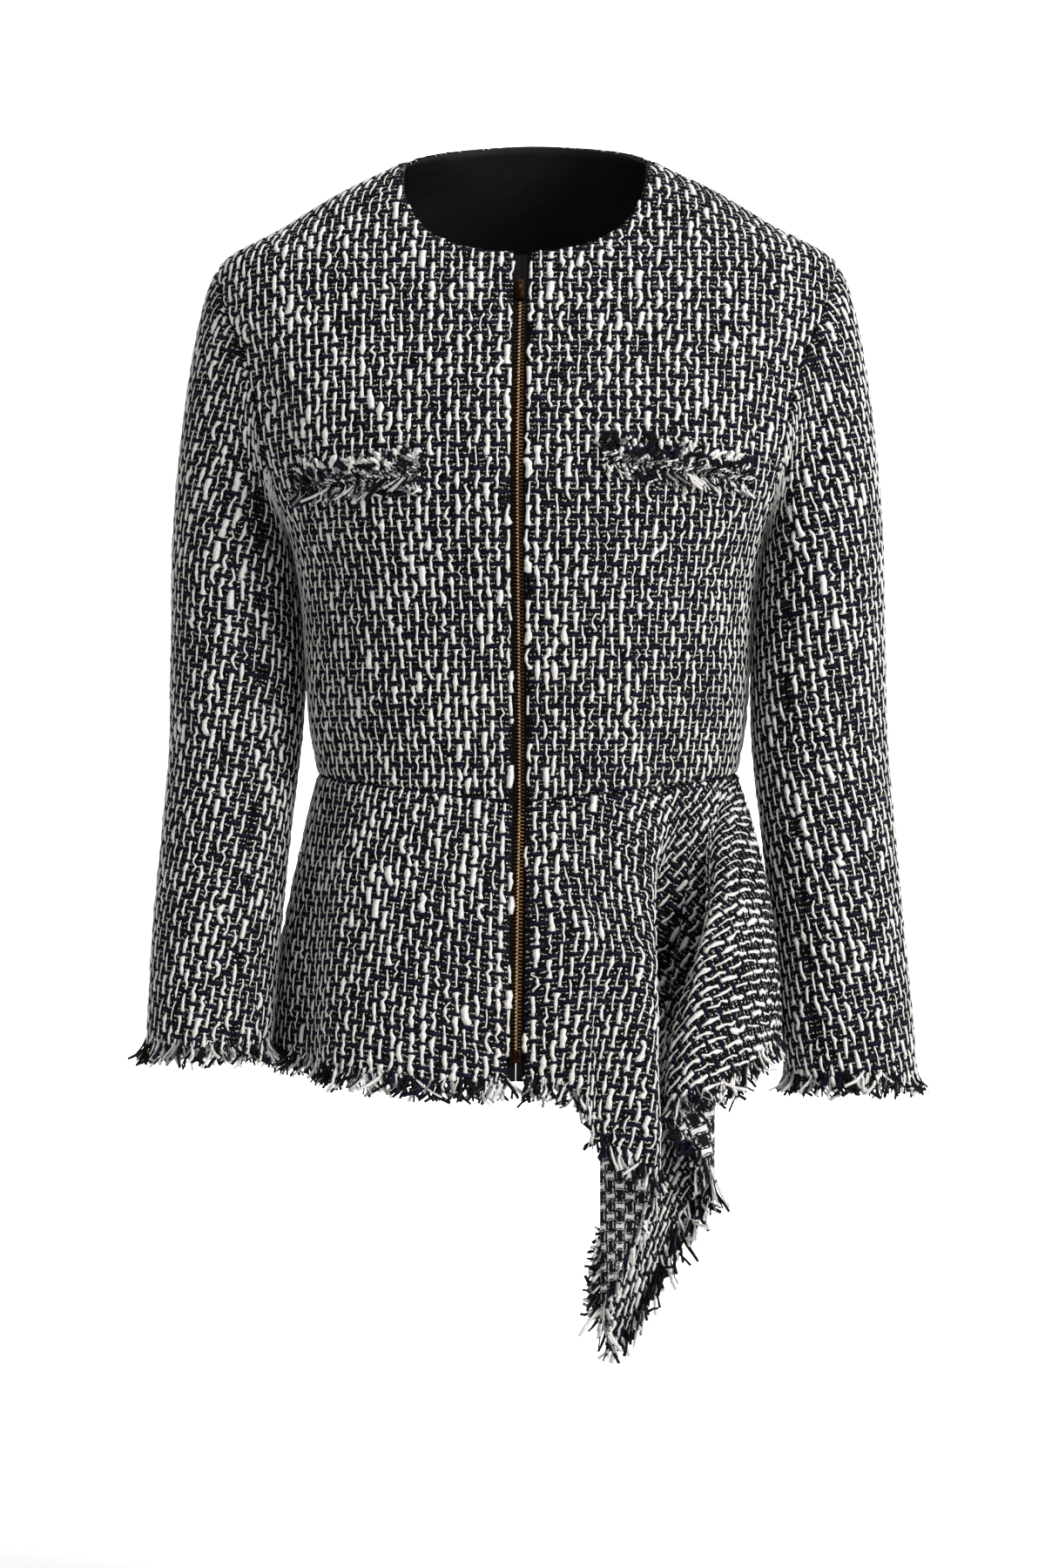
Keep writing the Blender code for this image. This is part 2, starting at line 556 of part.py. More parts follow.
def pocket(side, span, mirrored, cloth, seed):
    """A frayed strip on the chest: a stitched band with locks above and below."""
    near, far, near_z, far_z = span
    x = np.linspace(near, far, POCKET_CELLS + 1)
    line = np.linspace(near_z, far_z, POCKET_CELLS + 1)
    rows = []
    for lift in (0.5, -0.5):
        z = line + lift * POCKET_BAND
        t = turn_at(x, z)
        p = body(t, z)
        n = normals(body, t, z)
        rows.append((p, n * np.sign(np.sum(n * p * (1, 1, 0), -1, keepdims=True))))
    (top, top_n), (low, low_n) = rows
    up = unit(top - low)
    turned = flip if mirrored else np.copy
    rng = np.random.default_rng(seed)
    outer = [top + top_n * (POCKET_OFF + POCKET_THICK), low + low_n * (POCKET_OFF + POCKET_THICK)]
    inner = [top + top_n * POCKET_OFF, low + low_n * POCKET_OFF]
    verts = [*outer[0], *outer[1], *inner[0], *inner[1]]
    k = len(x)
    a, b, c, d = (np.arange(k) + q * k for q in range(4))
    faces = []
    for i in range(k - 1):
        faces += [(a[i], a[i + 1], b[i + 1], b[i]), (c[i], d[i], d[i + 1], c[i + 1])]
        for near_row, back_row, way in ((a, c, up), (b, d, -up)):
            if i % 2:
                faces.append((near_row[i], back_row[i], back_row[i + 1], near_row[i + 1]))
                continue
            loop = (near_row[i], near_row[i + 1], back_row[i + 1], back_row[i])
            root = [verts[q] for q in loop]
            mid = sum(root) / 4
            go = unit(way[i] + way[i + 1] + (top_n[i] + low_n[i]) * 0.12
                      + unit(root[1] - root[0]) * rng.uniform(-0.25, 0.25))
            tip = mid + go * rng.uniform(0.009, 0.013)
            q = len(verts)
            verts += [tip + (v - mid) * 0.45 + top_n[i] * 0.0006 for v in root]
            faces += [(loop[e], loop[(e + 1) % 4], q + (e + 1) % 4, q + e) for e in range(4)]
            faces.append((q, q + 1, q + 2, q + 3))
    e = k - 1
    faces += [(a[0], b[0], d[0], c[0]), (a[e], c[e], d[e], b[e])]
    make(f"pocket_strip_{side}", turned(np.array(verts)), faces, cloth)


def zip_line(front, front_n, skirt, skirt_n):
    """The middle front from the neck to the hem: points and outward normals on X = 0."""
    p = np.concatenate((front[::-1, 0], skirt[1:, 0])) * (0, 1, 1)
    n = np.concatenate((front_n[::-1, 0], skirt_n[1:, 0])) * (0, 1, 1)
    return p, unit(n)


def part_of_line(line, top_z, end_z):
    """The stretch of the zip's line between two levels."""
    p, n = line
    z = p[::-1, 2]
    inside = p[(p[:, 2] < top_z - 1e-4) & (p[:, 2] > end_z + 1e-4), 2]
    level = np.concatenate(((top_z,), inside, (end_z,)))
    pick = [np.stack([np.interp(level, z, g[::-1, k]) for k in range(3)], -1) for g in (p, n)]
    return pick[0], unit(pick[1])


def bar(name, line, left, right, near, far, material):
    """A strip along the zip's line, from left to right across, from near to far in depth."""
    p, n = line
    outer = np.stack([p + (x, 0, 0) - n * near for x in (left, right)], 1)
    inner = np.stack([p + (x, 0, 0) - n * far for x in (left, right)], 1)
    return wall(name, outer, inner, material)


def zip_pieces(line, black, brass, copper):
    """The tapes behind the front edges, the chain between them, the slider and the bottom box."""
    top, end = line[0][0, 2] - 0.002, line[0][-1, 2] + 0.0015
    tape_near = WALL + SEAM
    for side, sign in (("left", 1), ("right", -1)):
        a, b = sorted((sign * 0.00015, sign * TAPE_REACH))
        stretch = part_of_line(line, top, end)
        bar(f"zip_tape_{side}", stretch, a, b, tape_near, tape_near + TAPE_THICK, black)
    near, far = WALL - CHAIN_THICK, WALL
    wide = CHAIN_WIDE / 2
    bar("zip_chain", part_of_line(line, CHAIN_TOP_Z, CHAIN_END_Z), -wide, wide, near, far, brass)
    bar("zip_box", part_of_line(line, BOX_TOP_Z, BOX_END_Z), -0.0033, 0.0033, -0.0010, far, copper)
    p, n = part_of_line(line, SLIDER_TOP_Z, SLIDER_END_Z)
    rows = np.linspace(0, 1, 5)
    mid = p[0] + (p[-1] - p[0]) * rows[:, None]
    nrm = unit(n[0] + n[-1])
    half = np.array((0.0019, 0.0029, 0.0032, 0.0030, 0.0026))[:, None]
    rise = np.array((0.0008, 0.0018, 0.0022, 0.0018, 0.0012))[:, None]
    across = [np.array((x, 0, 0)) * half for x in (-1, -0.45, 0.45, 1)]
    outer = np.stack([mid + a + nrm * rise * (0.6 if i in (0, 3) else 1) for i, a in enumerate(across)], 1)
    inner = np.stack([mid + a - nrm * (WALL - 0.0001) for a in across], 1)
    wall("zip_slider", outer, inner, copper)


def material(name, colour, rough, metal=0.0):
    m = bpy.data.materials.new(name)
    m.use_nodes = True
    shader = m.node_tree.nodes["Principled BSDF"]
    shader.inputs["Base Color"].default_value = (*colour, 1)
    shader.inputs["Roughness"].default_value = rough
    shader.inputs["Metallic"].default_value = metal
    m.diffuse_color = (*colour, 1)
    return m


def build():
    cloth = material("tweed", (0.22, 0.22, 0.24), 0.95)
    fray = material("frayed_yarn", (0.35, 0.35, 0.37), 0.95)
    black = material("black_cotton", (0.02, 0.02, 0.022), 0.8)
    brass = material("brass", (0.55, 0.36, 0.14), 0.3, 1.0)
    copper = material("dark_copper", (0.18, 0.10, 0.06), 0.35, 1.0)
    front, front_n = bodice(cloth)
    neck_facing(black)
    sleeve("left", SLEEVE_LEFT, False, cloth, fray, 11)
    sleeve("right", SLEEVE_RIGHT, True, cloth, fray, 12)
    skirt, skirt_n = peplum(cloth, fray)
    pocket("left", POCKET_LEFT, False, fray, 21)
    pocket("right", POCKET_RIGHT, True, fray, 22)
    zip_pieces(zip_line(front, front_n, skirt, skirt_n), black, brass, copper)


for old in list(bpy.data.objects):
    bpy.data.objects.remove(old, do_unlink=True)
PARTS = bpy.data.collections.new("cotton_jacket")
bpy.context.scene.collection.children.link(PARTS)
build()
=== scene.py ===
# %% [markdown]
# # A collarless tweed jacket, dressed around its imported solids
# The jacket is cloth all over: a thick black yarn and a white slub yarn run up and down, a flat navy yarn runs
# across. A flat picture of that weave would look printed, so the white floats and the navy bars are real
# yarn here, laid on a thin shell of every panel. The frame is loaded first, and it never moves.

# %% Load the frame
import json
import math

import bpy
import numpy as np
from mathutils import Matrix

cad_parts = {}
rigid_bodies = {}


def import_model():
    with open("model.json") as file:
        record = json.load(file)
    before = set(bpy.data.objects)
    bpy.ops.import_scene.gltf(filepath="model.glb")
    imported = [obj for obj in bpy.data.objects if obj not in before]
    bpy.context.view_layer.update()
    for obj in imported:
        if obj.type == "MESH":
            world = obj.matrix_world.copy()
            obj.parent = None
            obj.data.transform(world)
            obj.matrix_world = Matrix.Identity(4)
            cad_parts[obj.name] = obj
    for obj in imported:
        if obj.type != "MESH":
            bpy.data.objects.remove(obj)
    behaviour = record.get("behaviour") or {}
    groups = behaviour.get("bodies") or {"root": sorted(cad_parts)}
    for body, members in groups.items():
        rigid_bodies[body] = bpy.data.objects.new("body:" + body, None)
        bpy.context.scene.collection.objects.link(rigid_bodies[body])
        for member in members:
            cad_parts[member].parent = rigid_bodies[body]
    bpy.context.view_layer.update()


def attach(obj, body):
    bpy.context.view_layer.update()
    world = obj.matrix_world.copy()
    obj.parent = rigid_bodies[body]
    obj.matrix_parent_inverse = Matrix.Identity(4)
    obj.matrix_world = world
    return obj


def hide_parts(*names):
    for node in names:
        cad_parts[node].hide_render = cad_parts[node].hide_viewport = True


for old in list(bpy.data.objects):
    bpy.data.objects.remove(old, do_unlink=True)
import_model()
bpy.ops.object.select_all(action="DESELECT")

# %% [markdown]
# ## Sizes
# The same named sizes as the solids use, so every shell lies where its solid is. Each table is a short list of
# sections with named columns, and smooth curves run through its rows.

# %% Sizes of the jacket
WALL, SEAM, FACING = 0.0018, 0.0003, 0.0012
UNDERARM_Z, TIP_Z = -0.200, -0.034
NECK_SIDE_Z, NECK_HALF, NECK_DROP, NECK_ROUND, NECK_RISE = 0.033, 0.077, 0.064, 2.6, 0.017
WAIST_FRONT_Z, WAIST_SIDE_Z = -0.372, -0.353
ARMHOLE_FRONT, ARMHOLE_BACK, ARMHOLE_ROUND = math.radians(29), math.radians(26), 2.2
ZIP_GAP = 0.0094
SIDE_ROWS, ARM_ROWS, SHOULDER_ROWS, UNDER_SEAM = 7, 12, 7, 8
ARM_MID, ARM_TALL = (UNDERARM_Z + TIP_Z) / 2, (TIP_Z - UNDERARM_Z) / 2

# level, half width, front depth, back depth, squareness of front, of back
BODY = np.array((
    (0.056, 0.053, 0.040, 0.055, 2.20, 2.20),
    (0.045, 0.064, 0.045, 0.060, 2.20, 2.20),
    (0.033, 0.077, 0.050, 0.067, 2.20, 2.20),
    (0.012, 0.119, 0.058, 0.079, 2.20, 2.30),
    (-0.008, 0.152, 0.066, 0.090, 2.20, 2.30),
    (-0.034, 0.195, 0.077, 0.099, 2.20, 2.30),
    (-0.064, 0.200, 0.090, 0.104, 2.20, 2.30),
    (-0.100, 0.191, 0.105, 0.107, 2.25, 2.35),
    (-0.140, 0.179, 0.117, 0.107, 2.35, 2.40),
    (-0.175, 0.164, 0.122, 0.105, 2.40, 2.40),
    (-0.200, 0.151, 0.121, 0.102, 2.40, 2.40),
    (-0.225, 0.1445, 0.117, 0.099, 2.40, 2.40),
    (-0.260, 0.1405, 0.110, 0.095, 2.40, 2.40),
    (-0.300, 0.1385, 0.104, 0.091, 2.40, 2.40),
    (-0.325, 0.1365, 0.101, 0.089, 2.35, 2.35),
    (-0.355, 0.1315, 0.099, 0.088, 2.30, 2.30),
    (-0.380, 0.1310, 0.099, 0.089, 2.30, 2.30),
))
# level, middle across, middle fore-aft, half width, half depth
SLEEVE_RIGHT = np.array((
    (-0.228, 0.1858, 0.000, 0.0390, 0.0570),
    (-0.260, 0.1839, -0.002, 0.0409, 0.0550),
    (-0.300, 0.1831, -0.007, 0.0419, 0.0525),
    (-0.340, 0.1842, -0.014, 0.0406, 0.0500),
    (-0.390, 0.1876, -0.032, 0.0396, 0.0475),
    (-0.450, 0.1911, -0.053, 0.0393, 0.0455),
    (-0.500, 0.1930, -0.068, 0.0384, 0.0440),
    (-0.521, 0.1938, -0.073, 0.0380, 0.0435),
))
SLEEVE_LEFT = np.array((
    (-0.228, 0.1855, 0.000, 0.0387, 0.0570),
    (-0.260, 0.1838, 0.000, 0.0408, 0.0550),
    (-0.300, 0.1833, -0.002, 0.0421, 0.0525),
    (-0.340, 0.1846, -0.005, 0.0421, 0.0500),
    (-0.390, 0.1895, -0.013, 0.0414, 0.0475),
    (-0.450, 0.1955, -0.021, 0.0407, 0.0455),
    (-0.510, 0.2009, -0.029, 0.0409, 0.0440),
    (-0.541, 0.2033, -0.032, 0.0409, 0.0435),
))
# degrees round the waist from the side seam, across, fore-aft, level of the peplum's hem
HEM_RIGHT = np.array((
    (88.4, 0.0047, -0.1440, -0.541),
    (70.0, 0.0450, -0.1470, -0.540),
    (52.0, 0.0880, -0.1400, -0.536),
    (40.0, 0.1160, -0.1215, -0.533),
    (33.0, 0.1260, -0.0960, -0.530),
    (20.0, 0.1500, -0.0620, -0.526),
    (8.0, 0.1610, -0.0260, -0.520),
    (0.0, 0.1535, 0.0060, -0.516),
))
HEM_BACK = np.array((
    (0.0, 0.1535, 0.0060, -0.516),
    (14.0, 0.1525, 0.0400, -0.518),
    (30.0, 0.1350, 0.0790, -0.520),
    (46.0, 0.1050, 0.1100, -0.521),
    (62.0, 0.0740, 0.1205, -0.522),
    (76.0, 0.0390, 0.1350, -0.522),
    (90.0, 0.0000, 0.1330, -0.522),
))
HEM_LEFT = np.array((
    (88.4, 0.0047, -0.1440, -0.541),
    (79.0, 0.0280, -0.1490, -0.542),
    (73.0, 0.0430, -0.1530, -0.550),
    (67.0, 0.0500, -0.1555, -0.570),
    (61.0, 0.0710, -0.1580, -0.585),
    (55.5, 0.0870, -0.1560, -0.594),
    (50.5, 0.0840, -0.1475, -0.604),
    (47.0, 0.0715, -0.1420, -0.632),
    (44.0, 0.0590, -0.1390, -0.662),
    (41.5, 0.0525, -0.1320, -0.684),
    (39.0, 0.0590, -0.1255, -0.696),
    (36.5, 0.0810, -0.1220, -0.662),
    (33.5, 0.1000, -0.1170, -0.622),
    (30.5, 0.1180, -0.1180, -0.600),
    (28.0, 0.1150, -0.1280, -0.590),
    (25.5, 0.1000, -0.1320, -0.571),
    (22.5, 0.0905, -0.1390, -0.555),
    (19.0, 0.1010, -0.1450, -0.549),
    (15.0, 0.1240, -0.1320, -0.543),
    (11.0, 0.1490, -0.1010, -0.525),
    (6.0, 0.1590, -0.0580, -0.516),
    (0.0, 0.1535, 0.0060, -0.516),
))
# Degrees round the waist between which each part of the draped front falls in its own way
DRAPE_TURNS, SIDE_LATE = (8, 19, 58, 76), 1.9         # the folds swing sideways late
VALLEY_TURNS, FORE_LATE = (22, 30, 46, 58), 1.4       # the valley comes forward late
EDGE_TURNS, EDGE_BEND = (13, 17, 23.5, 27), 1.60      # the fold beside the valley swings out early
FLARE_TURNS = (1.5, 7, 13, 20)                        # the side stands out at once
PEPLUM_BEND, FULL_DROP = 1.35, 0.200
DRAPE_SETTLE, PLAIN_SETTLE = 0.060, 0.012             # drop over which the normals leave the waist's
print("body sections:", len(BODY), "hem rows of the draped front:", len(HEM_LEFT))

# %% [markdown]
# ## Curves and the body's surface
# A garment's surface is easiest to hold as a formula. Level sections are rounded ovals whose sizes run smoothly
# from one named level to the next, so any point of a panel can be asked for at any fineness.

# %% Curve and body helpers
def hermite(i, v, h, ys, slope):
    """The cubic from row i to the next, at share v of the step h, with the rows' slopes."""
    return (ys[i] * (1 + 2 * v) * (1 - v) ** 2 + ys[i + 1] * v * v * (3 - 2 * v)
            + h * (slope[i] * v * (1 - v) ** 2 - slope[i + 1] * v * v * (1 - v)))


def smooth(x, xs, ys):
    """A curve through rows (xs rising, ys), without overshoot; straight past its ends."""
    xs, ys, x = np.asarray(xs, float), np.asarray(ys, float), np.asarray(x, float)
    rise = np.diff(ys) / np.diff(xs)
    slope = np.concatenate((rise[:1], (rise[:-1] + rise[1:]) / 2, rise[-1:]))
    turn = rise[:-1] * rise[1:] <= 0
    limit = 3 * np.minimum(np.abs(rise[:-1]), np.abs(rise[1:]))
    slope[1:-1] = np.where(turn, 0, np.clip(np.abs(slope[1:-1]), 0, limit) * np.sign(slope[1:-1]))
    i = np.clip(np.searchsorted(xs, x) - 1, 0, len(xs) - 2)
    h, u = xs[i + 1] - xs[i], (x - xs[i]) / (xs[i + 1] - xs[i])
    v = np.clip(u, 0, 1)
    return hermite(i, v, h, ys, slope) + h * (u - v) * np.where(u > 1, slope[i + 1], slope[i])


def flowing(x, xs, ys):
    """A rounded curve through rows that may turn back."""
    xs, ys, x = np.asarray(xs, float), np.asarray(ys, float), np.asarray(x, float)
    step = np.diff(xs)
    rise = np.diff(ys) / step
    inner = (rise[:-1] * step[1:] + rise[1:] * step[:-1]) / (step[:-1] + step[1:])
    slope = np.concatenate((rise[:1], inner, rise[-1:]))
    i = np.clip(np.searchsorted(xs, x) - 1, 0, len(xs) - 2)
    return hermite(i, (x - xs[i]) / step[i], step[i], ys, slope)


def unit(v):
    return v / np.maximum(np.linalg.norm(v, axis=-1, keepdims=True), 1e-12)


def travel(p, axis=0):
    """Distance along a line of points, or along each line of a grid."""
    step = np.linalg.norm(np.diff(p, axis=axis), axis=-1)
    return np.concatenate((np.zeros_like(np.take(step, [0], axis)), np.cumsum(step, axis)), axis)


def body_sizes(z):
    return [smooth(z, BODY[::-1, 0], BODY[::-1, c]) for c in range(1, 6)]


def body(turn, z, back=False):
    """The body's surface on the wearer's left: turn is 0 at the side seam and 90 degrees in the middle."""
    half, front, rear, front_n, rear_n = body_sizes(z)
    deep, n = (rear, rear_n) if back else (-front, front_n)
    c, s = np.maximum(np.cos(turn), 0), np.sin(turn)
    pull = (c ** n + np.abs(s) ** n) ** (-1 / n)
    return np.stack(np.broadcast_arrays(half * pull * c, deep * pull * s, z), -1)


def turn_at(x, z):
    half, _, _, n, _ = body_sizes(z)
    return np.arctan(np.maximum((x / half) ** -n - 1, 0) ** (1 / n))


def outward(p, n):
    """Normals turned away from the body's middle line."""
    return n * np.sign(np.sum(n * p * (1, 1, 0), -1, keepdims=True) + 1e-12)


def normals(surface, u, v, du=1e-4, dv=1e-5):
    return unit(np.cross(surface(u + du, v) - surface(u - du, v), surface(u, v + dv) - surface(u, v - dv)))


def flip(p):
    return p * (-1, 1, 1)


def both_sides(half):
    """A left half grid, from the middle outwards, made whole with its mirror image."""
    p, n, u, v = half
    return tuple(np.concatenate((side[:, :0:-1], full), 1)
                 for side, full in ((flip(p), p), (flip(n), n), (-u, u), (v, v)))


print("chest at the underarm is", round(2000 * float(body_sizes(UNDERARM_Z)[0])), "mm wide")

# %% [markdown]
# ## The panels' grids
# A panel is a grid of points with an outward normal and a place in the flat cut, in metres, at each point. The
# flat place is what keeps the weave even: the grain runs straight up in the bodice and the right peplum, leans a
# little in the sleeves, and turns through a quarter circle in the draped left front, cut as a square corner.

# %% Bodice grids
FRONT_MID_Z, BACK_MID_Z = (-0.226, -0.108), (-0.215, -0.085)      # middle line: underarm, shoulder tip
LOWEST_Z, HIGHEST_Z, WIDEST = -0.385, 0.056, 0.30
EASE_Z, EASE_POWER = UNDERARM_Z - 0.004, 0.85                     # below it the waist's darts are eased in


def armhole(turn, back=False):
    c, s = np.cos(turn), np.maximum(np.sin(turn), 0)
    z = ARM_MID + ARM_TALL * np.sign(c) * np.abs(c) ** (2 / ARMHOLE_ROUND)
    return (ARMHOLE_BACK if back else ARMHOLE_FRONT) * s ** (2 / ARMHOLE_ROUND), z


def neckline(turn):
    a = np.linspace(0, math.pi / 2, 400)
    x = NECK_HALF * np.cos(a) ** (2 / NECK_ROUND)
    z = NECK_SIDE_Z - NECK_DROP * np.sin(a) ** (2 / NECK_ROUND)
    return np.interp(turn, turn_at(np.maximum(x, 1e-6), z), z)


def waist_z(turn, back=False):
    share = np.clip(1 - turn / (math.pi / 2), 0, 1)
    dip = 0 if back else WAIST_FRONT_Z - WAIST_SIDE_Z
    return WAIST_SIDE_Z + dip * (1 - share - 0.5 * share * (1 - share))


def bodice_rows(back, fine, cols):
    """Turn and level of half a bodice panel: rows from the waist up, columns from the middle outwards."""
    side = np.linspace(WAIST_SIDE_Z, UNDERARM_Z, SIDE_ROWS * fine + 1)[:-1]
    arm_turn, arm_z = armhole(np.linspace(math.pi, 0, ARM_ROWS * fine + 1), back)
    top = np.linspace(TIP_Z, NECK_SIDE_Z, SHOULDER_ROWS * fine + 1)[1:]
    edge_turn = np.concatenate((0 * side, arm_turn, 0 * top))
    edge_z = np.concatenate((side, arm_z, top))
    at = np.arange(len(edge_z)) / fine
    knots = (0, SIDE_ROWS, SIDE_ROWS + ARM_ROWS, SIDE_ROWS + ARM_ROWS + SHOULDER_ROWS)
    levels = ((WAIST_SIDE_Z, *BACK_MID_Z, NECK_SIDE_Z + NECK_RISE) if back
              else (WAIST_FRONT_Z, *FRONT_MID_Z, NECK_SIDE_Z - NECK_DROP))
    mid_z = smooth(at, knots, levels)
    s = np.linspace(0, 1, cols + 1)[None]
    mid_turn = np.full(len(at), math.pi / 2) if back else turn_at(ZIP_GAP / 2, mid_z)
    turn = mid_turn[:, None] + (edge_turn - mid_turn)[:, None] * s
    rim = NECK_SIDE_Z + NECK_RISE * np.abs(np.sin(turn[-1])) ** 0.8 if back else neckline(turn[-1])
    rim = (rim - rim[0]) / (rim[-1] - rim[0])
    low = np.clip(at / SIDE_ROWS, 0, 1)[:, None]
    lift = np.clip((at - knots[2]) / SHOULDER_ROWS, 0, 1)[:, None]
    run = (s + 0.5 * s * (1 - s)) * (1 - low) + (1 - (1 - s) ** 2.2) * low
    z = mid_z[:, None] + (edge_z - mid_z)[:, None] * (run * (1 - lift) + rim[None] * lift)
    z[0] = waist_z(turn[0], back)
    return turn, z


def bodice_flat(turn, z, back):
    """Flat place of points on the body: across from the middle, and up along the grain from the waist."""
    def across(t, level):
        ahead = t[..., None] + (math.pi / 2 - t)[..., None] * np.linspace(0, 1, 40)
        line = body(ahead, np.broadcast_to(level[..., None], ahead.shape), back)
        return np.linalg.norm(np.diff(line, axis=-2), axis=-1).sum(-1)

    levels = np.linspace(LOWEST_Z, HIGHEST_Z, 150)
    turns = np.linspace(0, math.pi / 2, 120)
    reach = np.linspace(0, WIDEST, 100)
    girth = across(np.zeros_like(levels), levels)
    full = np.interp(EASE_Z, levels, girth)
    ease = np.where(levels < EASE_Z, (full / np.minimum(girth, full)) ** EASE_POWER, 1.0)
    grain = np.zeros((len(levels), len(reach), 3))
    for j, level in enumerate(levels):
        s = across(turns, np.full_like(turns, level)) * ease[j]
        line = body(turns, np.full_like(turns, level), back)
        grain[j] = np.stack([np.interp(reach, s[::-1], line[::-1, k]) for k in range(3)], -1)
    u = across(turn, z) * np.interp(z, levels, ease)
    return u, table_at(travel(grain), (z - levels[0]) / (levels[1] - levels[0]), u / (reach[1] - reach[0]))


def table_at(table, row, col):
    """Values between the cells of a table."""
    r = np.clip(np.floor(row).astype(int), 0, table.shape[0] - 2)
    c = np.clip(np.floor(col).astype(int), 0, table.shape[1] - 2)
    a, b = np.clip(row - r, 0, 1), np.clip(col - c, 0, 1)
    return ((table[r, c] * (1 - b) + table[r, c + 1] * b) * (1 - a)
            + (table[r + 1, c] * (1 - b) + table[r + 1, c + 1] * b) * a)


def bodice_grid(back, fine, cols):
    turn, z = bodice_rows(back, fine, cols)
    p = body(turn, z, back)
    n = outward(p, normals(lambda a, b: body(a, b, back), turn, z))
    u, v = bodice_flat(turn, z, back)
    return p, n, u, v


FRONT = bodice_grid(False, 4, 44)
BACK = both_sides(bodice_grid(True, 4, 40))
print("front grid", FRONT[0].shape, "is", round(float(FRONT[2].max()), 3), "by",
      round(float(np.ptp(FRONT[3])), 3), "m flat")

# %% Sleeve grids
SLEEVE_FINE, GRAIN_TILT, FLAT_GIRTH = 4, math.radians(9), 0.285
CAP_RINGS, ARM_RINGS = 28, 44
CAP_PUSH, CAP_DROP = (0.075, 0.016), (0.150, 0.026)      # how hard the cap leaves and lands, at its top and underarm
SEAM_COL, ROUND = UNDER_SEAM * SLEEVE_FINE, 2 * ARM_ROWS * SLEEVE_FINE


def sleeve_grid(stations, fine):
    """A left sleeve from the armhole down: points, normals and flat places, each row a closed loop."""
    half_turn = np.linspace(0, math.pi, ARM_ROWS * fine + 1)
    turn = np.concatenate((half_turn, 2 * math.pi - half_turn[-2:0:-1]))
    front = turn <= math.pi + 1e-9
    edge, nrm = np.zeros((len(turn), 3)), np.zeros((len(turn), 3))
    for is_back, pick in ((False, front), (True, ~front)):
        t, z = armhole(np.where(front, turn, 2 * math.pi - turn)[pick], is_back)
        edge[pick] = body(t, z, is_back)
        nrm[pick] = outward(edge[pick], normals(lambda a, b, k=is_back: body(a, b, k), t, z))
    into = unit(np.cross(nrm, np.roll(edge, -1, 0) - np.roll(edge, 1, 0)))
    into *= np.sign(np.sum(into * (edge.mean(0) - edge), -1, keepdims=True))
    start = edge + into * SEAM
    c, s = np.cos(turn)[:, None], np.sin(turn)[:, None]

    def ring(z, x, y, w, d):
        return np.concatenate((x + w * c, y - d * s, np.full_like(c, z)), 1)

    first, low = ring(*stations[0]), (1 - c) / 2
    leave = unit(into + nrm * (0.25 + 0.45 * low))
    push = CAP_PUSH[0] * (1 - low) + CAP_PUSH[1] * low
    drop = np.array((0, 0, -1.0)) * (CAP_DROP[0] * (1 - low) + CAP_DROP[1] * low)
    rings = [start * (1 + 2 * u) * (1 - u) ** 2 + first * u * u * (3 - 2 * u)
             + leave * push * u * (1 - u) ** 2 - drop * u * u * (1 - u)
             for u in np.linspace(0, 1, CAP_RINGS + 1)[:-1]]
    for z in np.linspace(stations[0, 0], stations[-1, 0], ARM_RINGS):
        rings.append(ring(z, *(smooth(z, stations[::-1, 0], stations[::-1, k]) for k in range(1, 5))))
    p = np.array(rings)
    n = unit(np.cross(np.gradient(p, axis=0), np.roll(p, -1, 1) - np.roll(p, 1, 1)))
    n *= np.sign(n[-1, 0, 0])
    ease = np.exp(-np.arange(len(p)) / 2.0)[:, None, None]
    n = unit(nrm * ease + n * (1 - ease))
    down = unit(np.gradient(p, axis=0))
    step = np.roll(p, -1, 1) - p
    lean = np.sum(step * down, -1)
    wide = np.sqrt(np.maximum(np.sum(step * step, -1) - lean ** 2, 0))
    u = np.concatenate((np.zeros((len(p), 1)), np.cumsum(wide, 1)), 1)
    u = u * np.sqrt(FLAT_GIRTH / u[:, -1:])
    v = travel(p)
    v = v[-1:] - v
    return p, n, u, np.concatenate((v, v[:, :1]), 1)


def sleeve_panel(grid, first, last):
    """Columns first to last of a sleeve as a panel; first may be below zero, past the top line."""
    p, n, u, v = grid
    count = p.shape[1]
    cols = np.arange(first, last + 1)
    flat_u, flat_v = u[:, cols % count] - np.where(cols < 0, u[:, -1:], 0), v[:, cols % count]
    c, s = math.cos(GRAIN_TILT), math.sin(GRAIN_TILT)
    return p[:, cols % count], n[:, cols % count], flat_u * c - flat_v * s, flat_u * s + flat_v * c


SLEEVES = {"left": sleeve_grid(SLEEVE_LEFT, SLEEVE_FINE), "right": sleeve_grid(SLEEVE_RIGHT, SLEEVE_FINE)}
print("sleeve grid", SLEEVES["left"][0].shape, "length under the tip",
      round(float(SLEEVES["left"][3].max()), 3), "m")

# %% Peplum grids
SIDE_COLS = 5                                             # columns that share the side seam's normal
SIDE_TOP, SIDE_HEM = np.array((1.0, 0.02, 0)), np.array((1.0, 0.0, 0.12))
WAIST_ARC, EVEN_ROW, EVEN_SHARE = 0.187, 0.55, 0.45       # turned grain: flat waist, row it follows, start


